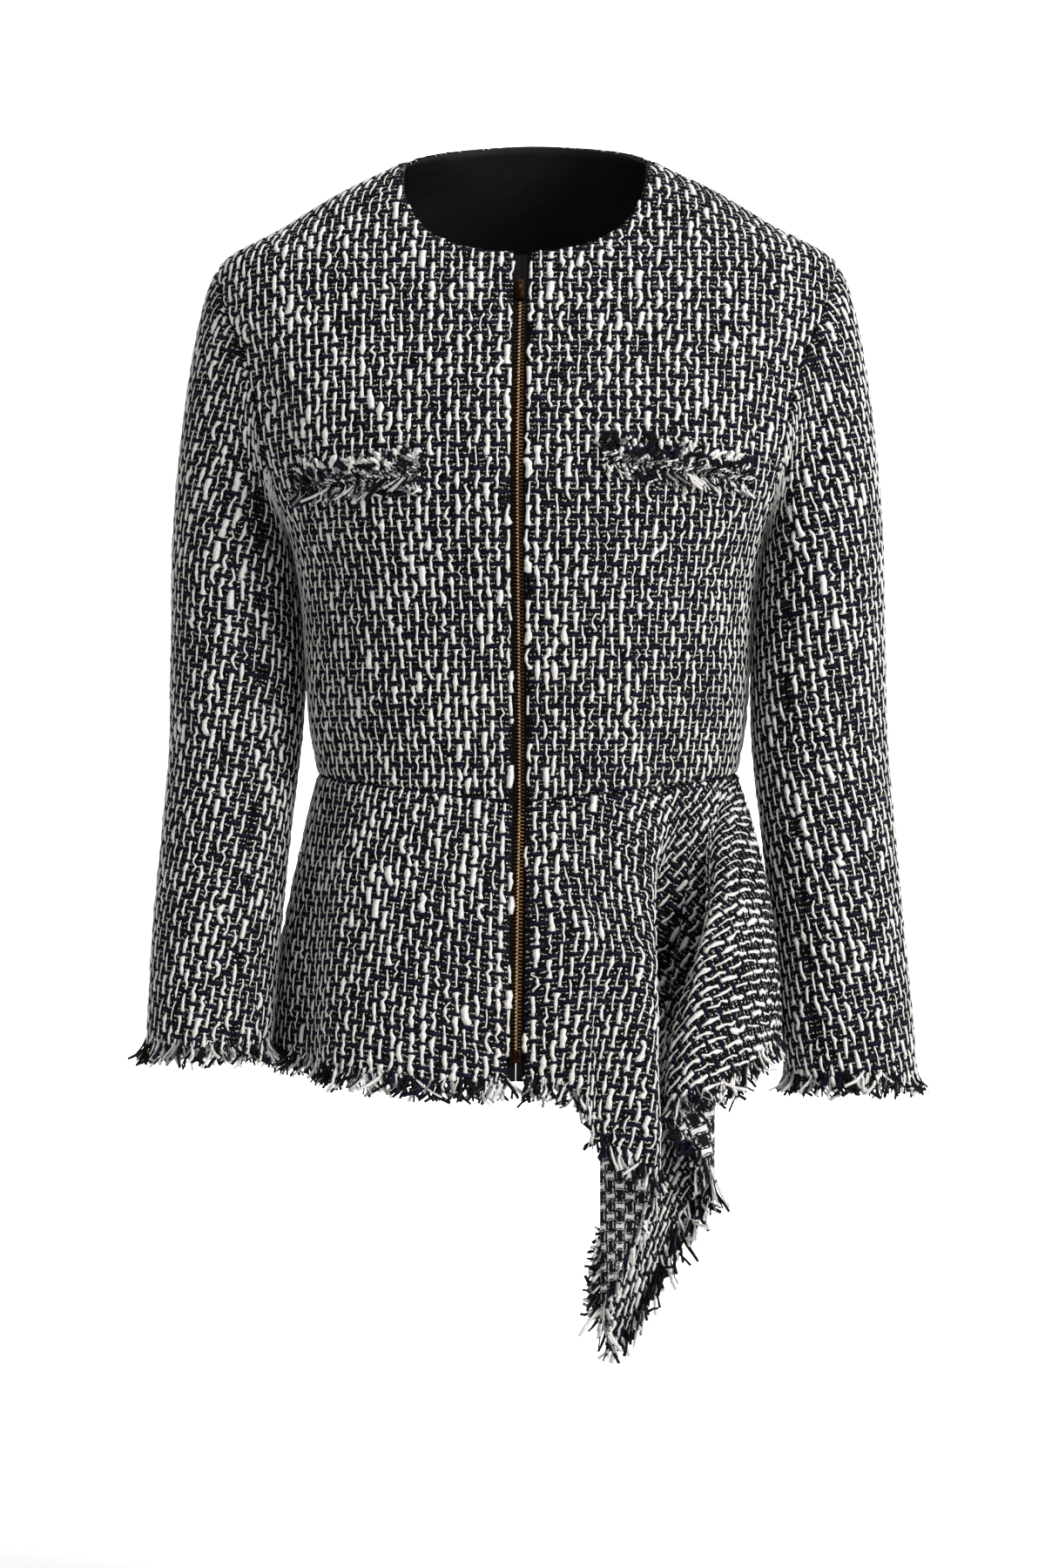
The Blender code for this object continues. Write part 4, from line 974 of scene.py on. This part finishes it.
BACK_FOLDS = (((0.145, 0.030, -0.215), (0.080, 0.095, -0.255), 0.010, -0.0018),
              ((-0.146, 0.030, -0.222), (-0.085, 0.095, -0.275), 0.010, -0.0016),
              ((0.120, 0.055, -0.335), (0.010, 0.088, -0.322), 0.010, -0.0015),
              ((-0.125, 0.050, -0.325), (-0.020, 0.088, -0.338), 0.010, -0.0016))
SLEEVE_FOLDS = {
    "left": (((0.1475, -0.010, -0.205), (0.1440, -0.006, -0.275), 0.014, 0.0012),
             ((0.150, -0.048, -0.318), (0.212, -0.046, -0.340), 0.010, -0.0020),
             ((0.148, -0.040, -0.352), (0.205, -0.056, -0.372), 0.009, -0.0015),
             ((0.152, -0.045, -0.250), (0.190, -0.058, -0.285), 0.011, -0.0016),
             ((0.215, 0.040, -0.330), (0.160, 0.044, -0.350), 0.012, -0.0018),
             ((0.160, -0.068, -0.440), (0.215, -0.074, -0.462), 0.012, 0.0014)),
    "right": (((0.150, -0.052, -0.305), (0.214, -0.050, -0.330), 0.010, -0.0021),
              ((0.148, -0.056, -0.345), (0.208, -0.069, -0.362), 0.009, -0.0017),
              ((0.150, -0.045, -0.245), (0.192, -0.060, -0.276), 0.011, -0.0015),
              ((0.214, 0.036, -0.325), (0.160, 0.038, -0.345), 0.012, -0.0018),
              ((0.158, -0.085, -0.420), (0.214, -0.094, -0.444), 0.012, 0.0015)),
}
RIDGE = (((0.122, -0.070, -0.385), (0.134, -0.105, -0.525), 0.010, 0.0022),
         ((0.104, -0.096, -0.400), (0.100, -0.128, -0.530), 0.013, -0.0016),
         ((0.058, -0.118, -0.430), (0.062, -0.143, -0.535), 0.014, 0.0012))
VALLEY = (((0.100, -0.078, -0.388), (0.090, -0.106, -0.540), 0.015, -0.024),)

# %% Build the panels
SHELLS, YARNS, DRESSED = {}, {}, {}


def panel(node, grid, inside, sewn, folds=(), mirrored=False, seed=0, rings=FLOAT_RINGS):
    piece, dressed = shell(node + "_cloth", grid, inside, sewn, folds, mirrored)
    enlist(piece, node)
    yarns = weave(node + "_yarn", dressed, seed, rings)
    enlist(yarns)
    SHELLS[node], YARNS[node], DRESSED[node] = piece, yarns, dressed


panel("front_left", FRONT, LINING, "tblr", FRONT_FOLDS["left"], seed=1)
panel("front_right", FRONT, LINING, "tblr", FRONT_FOLDS["right"], True, seed=2)
panel("back", BACK, LINING, "tblr", BACK_FOLDS, seed=3, rings=BACK_RINGS)
for k, side in enumerate(("left", "right")):
    grid = SLEEVES[side]
    panel(f"sleeve_{side}_upper", sleeve_panel(grid, -SEAM_COL, SEAM_COL), LINING, "tlr", SLEEVE_FOLDS[side],
          side == "right", seed=4 + k)
    panel(f"sleeve_{side}_under", sleeve_panel(grid, SEAM_COL, ROUND - SEAM_COL), LINING, "tlr",
          SLEEVE_FOLDS[side], side == "right", seed=6 + k, rings=BACK_RINGS)
panel("peplum_front_right", PEPLUM_RIGHT, WRONG, "tlr", RIDGE, True, seed=8)
panel("peplum_front_left", PEPLUM_LEFT, PULLED, "tlr", VALLEY, seed=9)
panel("peplum_back", PEPLUM_BACK, WRONG, "tlr", seed=10, rings=BACK_RINGS)
print("yarn triangles:", {node: triangles(piece) for node, piece in YARNS.items()})

# %% [markdown]
# ## Frayed edges
# The hem and the cuffs are raw: the last of the cloth is ravelled to loose ends of white slub, black and navy yarn,
# with thin curly fibres between them. Each strand is a tapered tube rooted in the cloth's edge.

# %% Strand helpers
def along_line(points, count):
    """Evenly spread positions on a line of points, as an index and a share."""
    run = travel(points)
    at = np.interp(np.linspace(0, run[-1], count), run, np.arange(len(points)))
    i = np.minimum(at.astype(int), len(points) - 2)
    return i, (at - i)[:, None]


def strands(rng, root, way, side, up, length, thick, curl, rings, sides, flat=0.75, taper=0.55):
    """Tapered strands from roots; they bend sideways and out of the cloth by curl."""
    s = np.linspace(0, 1, rings)[None, :, None]
    count = len(root)
    bend = rng.normal(0, curl, (count, 1, 1)) * side[:, None]
    bend = bend + rng.normal(0.1, curl * 0.7, (count, 1, 1)) * up[:, None]
    wave = rng.normal(0, curl * 0.35, (count, 1, 1)) * side[:, None]
    phase = rng.uniform(0, 6.28, (count, 1, 1))
    wander = way[:, None] * s + bend * s * s + wave * np.sin(5 * s + phase) * s
    line = root[:, None] + length[:, None, None] * wander
    along = unit(np.gradient(line, axis=1))
    across = unit(np.cross(up[:, None], along))
    rise = np.cross(along, across)
    slim = 1 - (1 - taper) * s[..., 0] ** 1.5
    wide = thick[:, None] * slim * np.exp(rng.normal(0, 0.15, (count, rings)))
    return tubes(line, across, rise, wide, wide * flat, sides)


SHARES = (0.31, 0.37, 0.21, 0.11)                      # of white, black, navy and marled strands
STOUT = (0.00135, 0.00130, 0.00125, 0.0010)            # their half thickness
STRAY_THICK, ROOTED = 0.00016, 0.003                   # thin stray fibres; how much of a strand lies in the cloth


def frayed(name, edge, inside, normal, seed, length=0.0100, spacing=0.00075, lean=0.34, ends=None, node=None):
    """A frayed edge: strands go on from inside over the edge; ends scales their length along it."""
    rng = np.random.default_rng(seed)
    count = int(travel(edge)[-1] / spacing)
    i, f = along_line(edge, count)
    base, out, nrm = (g[i] * (1 - f) + g[i + 1] * f for g in (edge, unit(edge - inside), normal))
    run = unit(edge[i + 1] - edge[i])
    scale = np.ones(count)
    if ends is not None:
        scale = np.interp(i + f[:, 0], np.linspace(0, len(edge) - 1, len(ends)), ends)
    pick = rng.choice(4, count, p=SHARES)
    groups = []
    for kind, stout in enumerate(STOUT):
        mine = pick == kind
        k = mine.sum()
        root = base[mine] - out[mine] * rng.uniform(0.0, 0.005, (k, 1))
        root = root + nrm[mine] * rng.uniform(-0.0016, 0.0007, (k, 1))
        way = unit(out[mine] + run[mine] * rng.normal(0, lean, (k, 1)) + nrm[mine] * rng.normal(0.02, 0.12, (k, 1)))
        size = length * rng.uniform(0.62, 1.18, k) * scale[mine] + ROOTED
        thick = stout * rng.uniform(0.6, 1.25, k)
        groups.append(strands(rng, root, way, run[mine], nrm[mine], size, thick, 0.40, 6, 3, 0.75, 0.85))
    stray = rng.choice(count, count // 5, replace=False)
    k = len(stray)
    way = unit(out[stray] + run[stray] * rng.normal(0, 0.6, (k, 1)) + nrm[stray] * rng.normal(0, 0.3, (k, 1)))
    size = length * rng.uniform(0.8, 1.35, k) * scale[stray]
    fine = strands(rng, base[stray], way, run[stray], nrm[stray], size, np.full(k, STRAY_THICK), 0.45, 7, 3)
    groups[-1] = merged((groups[-1], fine))
    piece = join_tubes(name, groups, STRAND_YARNS)
    enlist(piece, node)
    return piece


# %% Frayed hem and cuffs
HEM_ENDS = (1, 1, 1, 1, 0.9, 0.9, 1.0, 1.15, 1.5, 1.9, 1.6, 1.0, 0.9, 0.9, 0.9, 0.9, 1, 1)     # longest at the corner
FRINGES = {}
for k, (side, skirt, lean, ends) in enumerate((("right", "peplum_front_right", 0.34, None),
                                               ("left", "peplum_front_left", 0.26, HEM_ENDS),
                                               ("back", "peplum_back", 0.34, None))):
    p, n = DRESSED[skirt][:2]
    node = f"hem_fringe_{side}"
    FRINGES[node] = frayed(node + "_strands", p[-1], p[-3], n[-1], 31 + k, lean=lean, ends=ends, node=node)
for k, side in enumerate(("left", "right")):
    (upper, upper_n), (under, under_n) = (DRESSED[f"sleeve_{side}_{part}"][:2] for part in ("upper", "under"))
    ring, ring_n = (np.concatenate((a[:, :-1], b), 1) for a, b in ((upper, under), (upper_n, under_n)))
    node = f"cuff_fringe_{side}"
    FRINGES[node] = frayed(node + "_strands", ring[-1], ring[-3], ring_n[-1], 41 + k, node=node)
print("fringe triangles:", {node: triangles(piece) for node, piece in FRINGES.items()})

# %% Frayed fold of the draped corner
CORNER_Z, CORNER_FRAY_Z = -0.600, -0.630               # below these the corner is one fold, and its fold is frayed
p = DRESSED["peplum_front_left"][0]
low = p[int(0.60 * len(p)):]
fold = np.argmin(np.where(low[..., 2] < CORNER_Z, low[..., 0], np.inf), 1)
fold_p = low[np.arange(len(fold)), fold]
fold_p = fold_p[fold_p[:, 2] < CORNER_FRAY_Z]
CORNER = frayed("hem_corner_strands", fold_p, fold_p + (0.010, 0, 0.007), np.tile((-0.2, -0.98, 0), (len(fold_p), 1)),
                39, length=0.0095, spacing=0.0005, ends=(0.5, 0.8, 1.0, 1.2))
print("corner triangles:", triangles(CORNER))

# %% [markdown]
# ## The chest strips
# Each strip is a ravelled band of the same tweed, sewn to the front along its middle: short ends stand up above,
# longer ones hang below, and a black-and-white twisted yarn covers the sewing.

# %% Chest strips
# near and far end across, near and far level
POCKETS = {"right": (0.0590, 0.1400, -0.1680, -0.1760), "left": (0.0510, 0.1400, -0.1600, -0.1710)}
PIECES = {}


def chest_line(span, lift, count, off):
    """Points and normals along a strip's middle line, lifted up it and off the cloth."""
    near, far, near_z, far_z = span
    x, z = np.linspace(near, far, count), np.linspace(near_z, far_z, count) + lift
    t = turn_at(x, z)
    p = body(t, z)
    n = outward(p, normals(body, t, z))
    return p + n * off, n


# from and to, above the middle line; up or down; lean outwards; length; thickness; how many; off the cloth; yarns
CHEST_ROWS = ((0.0060, 0.0095, 1, 0.50, 0.0066, 0.0016, 66, 0.0014, (0.34, 0.36, 0.20, 0.10)),
              (-0.0010, 0.0045, 1, 0.30, 0.0060, 0.0016, 92, 0.0018, (0.22, 0.42, 0.28, 0.08)),
              (-0.0060, -0.0035, -1, 0.50, 0.0092, 0.0011, 135, 0.0016, (0.26, 0.38, 0.22, 0.14)),
              (-0.0040, 0.0010, 1, 1.60, 0.0030, 0.0006, 280, 0.0032, (0.24, 0.46, 0.08, 0.22)))


CHEST_STOUT, CHEST_STEP = (1.0, 1.0, 0.95, 0.7), 0.006


def chest_strip(side, seed):
    rng = np.random.default_rng(seed)
    span = POCKETS[side]
    groups = [[] for _ in STRAND_YARNS]
    for low, high, down, lean, length, size, count, off, shares in CHEST_ROWS:
        lift = rng.uniform(low, high, count)
        p, n = chest_line(span, lift, count, off)
        q, _ = chest_line(span, lift + CHEST_STEP * down, count, off)
        way, run = unit(q - p), unit(np.gradient(chest_line(span, 0.0, count, off)[0], axis=0))
        pick = rng.choice(4, count, p=shares)
        for kind, stout in enumerate(CHEST_STOUT):
            mine = pick == kind
            k = mine.sum()
            go = way[mine] + run[mine] * rng.normal(lean, 0.45, (k, 1))
            go = unit(go + n[mine] * rng.uniform(-0.05, 0.16, (k, 1)))
            thick = size * stout * rng.uniform(0.5, 1.25, k)
            long = length * rng.uniform(0.5, 1.2, k)
            groups[kind].append(strands(rng, p[mine], go, run[mine], n[mine], long, thick, 0.5, 6, 4, 0.6, 0.8))
    piece = join_tubes(f"chest_strip_{side}_strands", [merged(group) for group in groups], STRAND_YARNS,
                       side == "right")
    enlist(piece, f"pocket_strip_{side}")
    return piece


for k, side in enumerate(("left", "right")):
    PIECES[f"pocket_strip_{side}"] = chest_strip(side, 51 + k)
print("chest strips:", [len(PIECES[k].data.polygons) for k in PIECES])

# %% [markdown]
# ## Neck facing
# Inside the neck a black facing shows, because the neckline opens towards the viewer. It is a thin shell laid on the
# inner faces of the fronts and the back.

# %% Neck facing
FACING_ROWS, FACING_COL = slice(-17, None), 4          # the bodice rows that it covers, and its first column


def round_neck(front, back):
    """From the zip round the neck and back to the zip."""
    half = back[FACING_ROWS, back.shape[1] // 2:]
    side = np.concatenate((front[FACING_ROWS, FACING_COL:], half[:, -2::-1]), 1)
    return np.concatenate((flip(side), side[:, -2::-1]), 1)


facing_p, facing_n = round_neck(FRONT[0], BACK[0]), round_neck(FRONT[1], BACK[1])
facing, _ = shell("neck_facing_cloth", (facing_p - facing_n * (WALL + SEAM), facing_n, travel(facing_p, 1),
                                        travel(facing_p, 0)), LINING, wall=FACING, outside=LINING)
enlist(facing, "neck_facing")
print("facing:", len(facing.data.polygons), "faces")

# %% [markdown]
# ## The zip
# A brass zip closes the front. One tooth is modelled by hand from a cube and copied down both tapes, the right ones
# half a pitch below the left ones, so they mesh in the middle as real teeth do.

# %% Metal and tape materials
def metal(name, dark, pale, rough):
    made, place, shader = finish(name, rough, 1.0, pale)
    at = Wire(made.node_tree, place.outputs["Object"])
    cloud = at.noise(300, 3)
    plug(shader, "Base Color", shade(cloud, (0.3, dark), (0.7, pale)))
    plug(shader, "Roughness", rough - 0.1 + cloud * 0.2)
    relief(shader, at.noise(1400, 2), 0.00004)
    return made


def tape_material():
    made, place, shader = finish("zip_tape", 0.85, gloss=0.1)
    uv, u, v = flat_place(place, made)
    twill = abs((v / 0.0012 + abs((u / 0.0024).fraction() - 0.5) * 2).fraction() - 0.5)
    plug(shader, "Base Color", shade(twill, (0.1, (0.0030, 0.0026, 0.0025)), (0.45, (0.0110, 0.0092, 0.0082))))
    relief(shader, twill, 0.0003)
    return made


PITCH_TOOTH, FIRST_TOOTH, LAST_TOOTH = 0.0022, -0.0645, -0.5200


def tooth_metal():
    """Old brass: brown at the sides, with a highlight painted bright into the colour where the teeth meet."""
    made, place, shader = finish("brass", 0.34, 1.0, (0.3, 0.15, 0.06))
    at = Wire(made.node_tree, place.outputs["Object"])
    x, z = at.node("ShaderNodeSeparateXYZ", in0=at), at.node("ShaderNodeSeparateXYZ", out=2, in0=at)
    # painted highlight: a bright spot in the colour, once a pitch, in the middle of the chain where the teeth meet
    painted_highlight = abs((z / PITCH_TOOTH + (0.5 - FIRST_TOOTH / PITCH_TOOTH)).fraction() - 0.5).below(0.29, 0.08)
    painted_highlight = abs(x).below(0.00075, 0.0003) * painted_highlight
    brown = shade(at.noise(300, 3), (0.3, (0.045, 0.019, 0.0075)), (0.7, (0.15, 0.070, 0.027)))
    bright = shade(at.noise(500, 2), (0.3, (0.95, 0.66, 0.38)), (0.7, (1.0, 0.86, 0.62)))
    plug(shader, "Base Color", brown.mix(painted_highlight, bright))
    relief(shader, at.noise(1400, 2), 0.00004)
    return made


BRASS = tooth_metal()
COPPER = metal("dark_copper", (0.010, 0.0050, 0.0032), (0.052, 0.023, 0.013), 0.32)
TAPE = tape_material()
print("zip materials:", [m.name for m in (BRASS, COPPER, TAPE)])

# %% The zip's line
LINE, LINE_N = (np.concatenate((front[::-1, 0], skirt[1:, 0])) * (0, 1, 1)
                for front, skirt in zip(FRONT[:2], PEPLUM_RIGHT[:2]))
LINE_N = unit(LINE_N)
TAPE_SPAN, TAPE_WALL = (0.00015, 0.0090), 0.0008       # across from the middle, thickness


def on_zip(z):
    """Points and normals of the zip's line at levels z."""
    order = np.argsort(LINE[:, 2])
    p, n = (np.stack([np.interp(z, LINE[order, 2], g[order, k]) for k in range(3)], -1) for g in (LINE, LINE_N))
    return p, unit(n)


def zip_tape(side, sign):
    """One tape, under the front's edge, from just below the neck to just above the hem."""
    z = np.linspace(LINE[0, 2] - 0.002, LINE[-1, 2] + 0.0015, 240)
    p, n = on_zip(z)
    x = np.linspace(*TAPE_SPAN, 9) * sign
    grid = p[:, None] + np.stack((x, 0 * x, 0 * x), -1)[None]
    nrm = np.repeat(n[:, None], len(x), 1)
    piece, _ = shell(f"zip_tape_{side}_cloth", (grid - nrm * (WALL + SEAM), nrm, travel(grid, 1), travel(grid, 0)),
                     TAPE, wall=TAPE_WALL, outside=TAPE)
    enlist(piece, f"zip_tape_{side}")
    PIECES[f"zip_tape_{side}"] = piece


zip_tape("left", 1)
zip_tape("right", -1)
print("zip line:", round(float(LINE[0, 2]), 3), "to", round(float(LINE[-1, 2]), 3))

# %% Hand modelling helpers
def cube(name, size, place=(0, 0, 0)):
    """A cube at its size and place, alone selected and active."""
    bpy.ops.object.select_all(action="DESELECT")
    bpy.ops.mesh.primitive_cube_add(size=1, location=place)
    piece = bpy.context.object
    piece.name = name
    piece.scale = size
    bpy.ops.object.transform_apply(location=True, rotation=True, scale=True)
    return piece


def pick_faces(piece, test):
    """Selects, in edit mode, the faces whose centre and normal pass a test."""
    bpy.ops.object.mode_set(mode="EDIT")
    bpy.ops.mesh.select_mode(type="FACE")
    bpy.ops.mesh.select_all(action="DESELECT")
    bpy.ops.object.mode_set(mode="OBJECT")
    for face in piece.data.polygons:
        face.select = bool(test(face.center, face.normal))
    bpy.ops.object.mode_set(mode="EDIT")


def bevelled(piece, width, segments):
    """Rounds the sharp edges of a hand-modelled piece."""
    bpy.ops.object.mode_set(mode="OBJECT")
    bevel = piece.modifiers.new("round", "BEVEL")
    bevel.width, bevel.segments, bevel.limit_method = width, segments, "ANGLE"
    bpy.ops.object.modifier_apply(modifier=bevel.name)
    bpy.ops.object.shade_smooth_by_angle(angle=math.radians(50))


print("hand modelling helpers ready")

# %% One tooth, and the chain
TOOTH_SHIFT, TOOTH_SINK = -0.0016, 0.00085             # across the middle line, and below the cloth's face
tooth = cube("tooth", (0.0034, 0.0020, 0.00086))
pick_faces(tooth, lambda c, n: n.x > 0.9)
bpy.ops.mesh.extrude_region_move(TRANSFORM_OT_translate={"value": (0.0007, 0, 0)})
bpy.ops.transform.resize(value=(1, 0.80, 0.72))
pick_faces(tooth, lambda c, n: n.x < -0.9)
bpy.ops.transform.resize(value=(1, 0.30, 0.92))
bpy.ops.transform.translate(value=(0, 0.0006, 0))
bevelled(tooth, 0.00024, 1)
shape = np.array([v.co for v in tooth.data.vertices])
tooth_faces = [tuple(f.vertices) for f in tooth.data.polygons]
bpy.data.objects.remove(tooth, do_unlink=True)
levels = np.arange(FIRST_TOOTH, LAST_TOOTH, -PITCH_TOOTH)
local = shape + (TOOTH_SHIFT, 0, 0)
verts, faces = [], []
for sign, shift in ((1, 0.0), (-1, PITCH_TOOTH / 2)):
    p, n = on_zip(levels - shift)
    down = np.cross(n, (1.0, 0, 0))
    for mid, out, run in zip(p, n, down):
        spot = (mid - out * TOOTH_SINK + np.outer(local[:, 0] * sign, (1, 0, 0)) - np.outer(local[:, 1], out)
                + np.outer(local[:, 2], run))
        faces += [tuple(q + len(verts) for q in (f if sign * run[2] < 0 else f[::-1])) for f in tooth_faces]
        verts += spot.tolist()
chain = new_piece("zip_chain_teeth", verts, faces, [BRASS])
chain.data.polygons.foreach_set("use_smooth", np.zeros(len(chain.data.polygons), bool))
enlist(chain, "zip_chain")
print("teeth:", 2 * len(levels), "faces:", len(chain.data.polygons))

# %% [markdown]
# ## Slider and bottom box
# The slider is a small plate, narrower at its top and its foot, with a raised bridge on its face and no pull. The box
# at the end of the chain is a plain block. Both are antique copper, so their edges are rounded to catch the light.

# %% Slider and bottom box
SLIDER_Z, SLIDER_OUT, BOX_Z, BOX_OUT = -0.0565, 0.0002, -0.5248, -0.0004


def stand_on_zip(piece, z, out):
    """Moves a hand-modelled piece (its face towards -Y) onto the zip's line at a level."""
    p, n = on_zip(np.array([z]))
    tilt = math.atan2(n[0, 2], -n[0, 1])
    place = p[0] + n[0] * out
    bpy.ops.object.mode_set(mode="OBJECT")
    co = np.array([v.co for v in piece.data.vertices])
    c, s = math.cos(tilt), math.sin(tilt)
    co = np.stack((co[:, 0], co[:, 1] * c + co[:, 2] * s, co[:, 2] * c - co[:, 1] * s), -1) + place
    piece.data.vertices.foreach_set("co", co.astype(np.float32).ravel())
    piece.data.update()


plate = cube("zip_slider_body", (0.0060, 0.0030, 0.0134))
bpy.ops.object.mode_set(mode="EDIT")
bpy.ops.mesh.select_all(action="SELECT")
bpy.ops.mesh.subdivide(number_cuts=3)
pick_faces(plate, lambda c, n: c.z > 0.0049)
bpy.ops.transform.resize(value=(0.66, 0.7, 1.0))
pick_faces(plate, lambda c, n: c.z < -0.0049)
bpy.ops.transform.resize(value=(0.82, 0.85, 1.0))
pick_faces(plate, lambda c, n: n.y < -0.9 and abs(c.x) < 0.0016 and abs(c.z) < 0.0050)
bpy.ops.mesh.inset(thickness=0.0002)
bpy.ops.mesh.extrude_region_move(TRANSFORM_OT_translate={"value": (0, -0.0006, 0)})
bevelled(plate, 0.00035, 2)
stand_on_zip(plate, SLIDER_Z, SLIDER_OUT)
box = cube("zip_box_body", (0.0066, 0.0028, 0.0074))
pick_faces(box, lambda c, n: n.y < -0.9)
bpy.ops.mesh.inset(thickness=0.0008)
bpy.ops.mesh.extrude_region_move(TRANSFORM_OT_translate={"value": (0, -0.0002, 0)})
bevelled(box, 0.0004, 2)
stand_on_zip(box, BOX_Z, BOX_OUT)
for piece, node in ((plate, "zip_slider"), (box, "zip_box")):
    piece.data.materials.append(COPPER)
    enlist(piece, node)
print("slider faces:", len(plate.data.polygons), "box faces:", len(box.data.polygons))

# %% [markdown]
# ## Each shell with its yarn and edges
# Every shell is a sheet of a known cut. The yarn and the frayed edges that lie on it are listed with it.


EDGES = {"peplum_front_left": [FRINGES["hem_fringe_left"], CORNER],
         "peplum_front_right": [FRINGES["hem_fringe_right"]], "peplum_back": [FRINGES["hem_fringe_back"]],
         "sleeve_left_upper": [FRINGES["cuff_fringe_left"]], "sleeve_right_upper": [FRINGES["cuff_fringe_right"]],
         "front_left": [PIECES["pocket_strip_left"]], "front_right": [PIECES["pocket_strip_right"]]}
for node, piece in SHELLS.items():
    grid = DRESSED[node]
    extra = [YARNS[node]] + EDGES.get(node, [])

# %% [markdown]
# ## Stage, light and camera
# The photograph is a plain studio picture: a pale ground, a big soft light from the front right, weaker ones from the
# left and from above, one more on the ground behind, and a camera level with the waist, a little to the right.

# %% Stage
FLOOR_Z, WALL_Y, CURVE, REACH = -0.90, 5.4, 1.6, 8.0
pale = finish("pale_floor", 0.9, colour=(0.96, 0.96, 0.955))[0]
bpy.ops.object.select_all(action="DESELECT")
bpy.ops.mesh.primitive_plane_add(size=1)
floor = bpy.context.object
floor.name = "floor"
floor.scale = (2 * REACH, WALL_Y - CURVE + REACH, 1)
floor.location = (0, (WALL_Y - CURVE - REACH) / 2, FLOOR_Z)
bpy.ops.object.transform_apply(location=True, rotation=True, scale=True)
bpy.ops.object.mode_set(mode="EDIT")
bpy.ops.mesh.select_mode(type="EDGE")
bpy.ops.mesh.select_all(action="DESELECT")
bpy.ops.object.mode_set(mode="OBJECT")
for edge in floor.data.edges:
    edge.select = all(floor.data.vertices[k].co.y > WALL_Y - CURVE - 0.01 for k in edge.vertices)
bpy.ops.object.mode_set(mode="EDIT")
bpy.ops.mesh.spin(steps=16, angle=-math.pi / 2, center=(0, WALL_Y - CURVE, FLOOR_Z + CURVE), axis=(1, 0, 0))
bpy.ops.mesh.extrude_region_move(TRANSFORM_OT_translate={"value": (0, 0, 4.0)})
bpy.ops.object.mode_set(mode="OBJECT")
bpy.ops.object.shade_smooth()
floor.data.materials.append(pale)
print("stage reaches", [round(c, 2) for c in floor.dimensions])

world = bpy.data.worlds.new("studio")
bpy.context.scene.world = world
world.use_nodes = True
world.node_tree.nodes["Background"].inputs[0].default_value = (1.0, 1.0, 1.0, 1)
world.node_tree.nodes["Background"].inputs[1].default_value = 0.28


def softbox(name, place, aim, size, power):
    data = bpy.data.lights.new(name, "AREA")
    data.shape, data.size, data.energy = "SQUARE", size, power
    lamp = bpy.data.objects.new(name, data)
    bpy.context.scene.collection.objects.link(lamp)
    lamp.location = place
    lamp.visible_camera = False
    x, y, z = np.array(aim) - np.array(place)
    lamp.rotation_euler = (math.atan2(math.hypot(x, y), -z), 0, math.atan2(y, x) - math.pi / 2)


softbox("key", (2.3, -1.7, 0.8), (0, 0, -0.3), 1.2, 84)
softbox("fill", (-2.6, -0.4, 0.4), (0, 0, -0.3), 1.2, 9)
softbox("top", (0.2, -0.3, 1.7), (0, 0, -0.2), 1.2, 18)
softbox("ground", (0, 2.6, 2.6), (0, 5.4, 0.0), 2.6, 260)
bpy.context.scene.view_settings.view_transform = "Standard"

# %% Camera
SCALE, FAR = 0.00055, 3.2            # metres a pixel at the middle plane, camera distance
TURN = math.radians(3.0)
camera = bpy.data.objects.new("camera", bpy.data.cameras.new("camera"))
bpy.context.scene.collection.objects.link(camera)
aim = np.array((-6 * SCALE, 0, -0.360))
camera.location = aim + FAR * np.array((math.sin(TURN), -math.cos(TURN), 0))
camera.rotation_euler = (math.pi / 2, 0, TURN)
camera.data.sensor_fit = "VERTICAL"
camera.data.sensor_height = 36
camera.data.lens = 36 / 2 / (900 * SCALE / FAR)
bpy.context.scene.camera = camera
print("lens", round(camera.data.lens, 1), "mm")
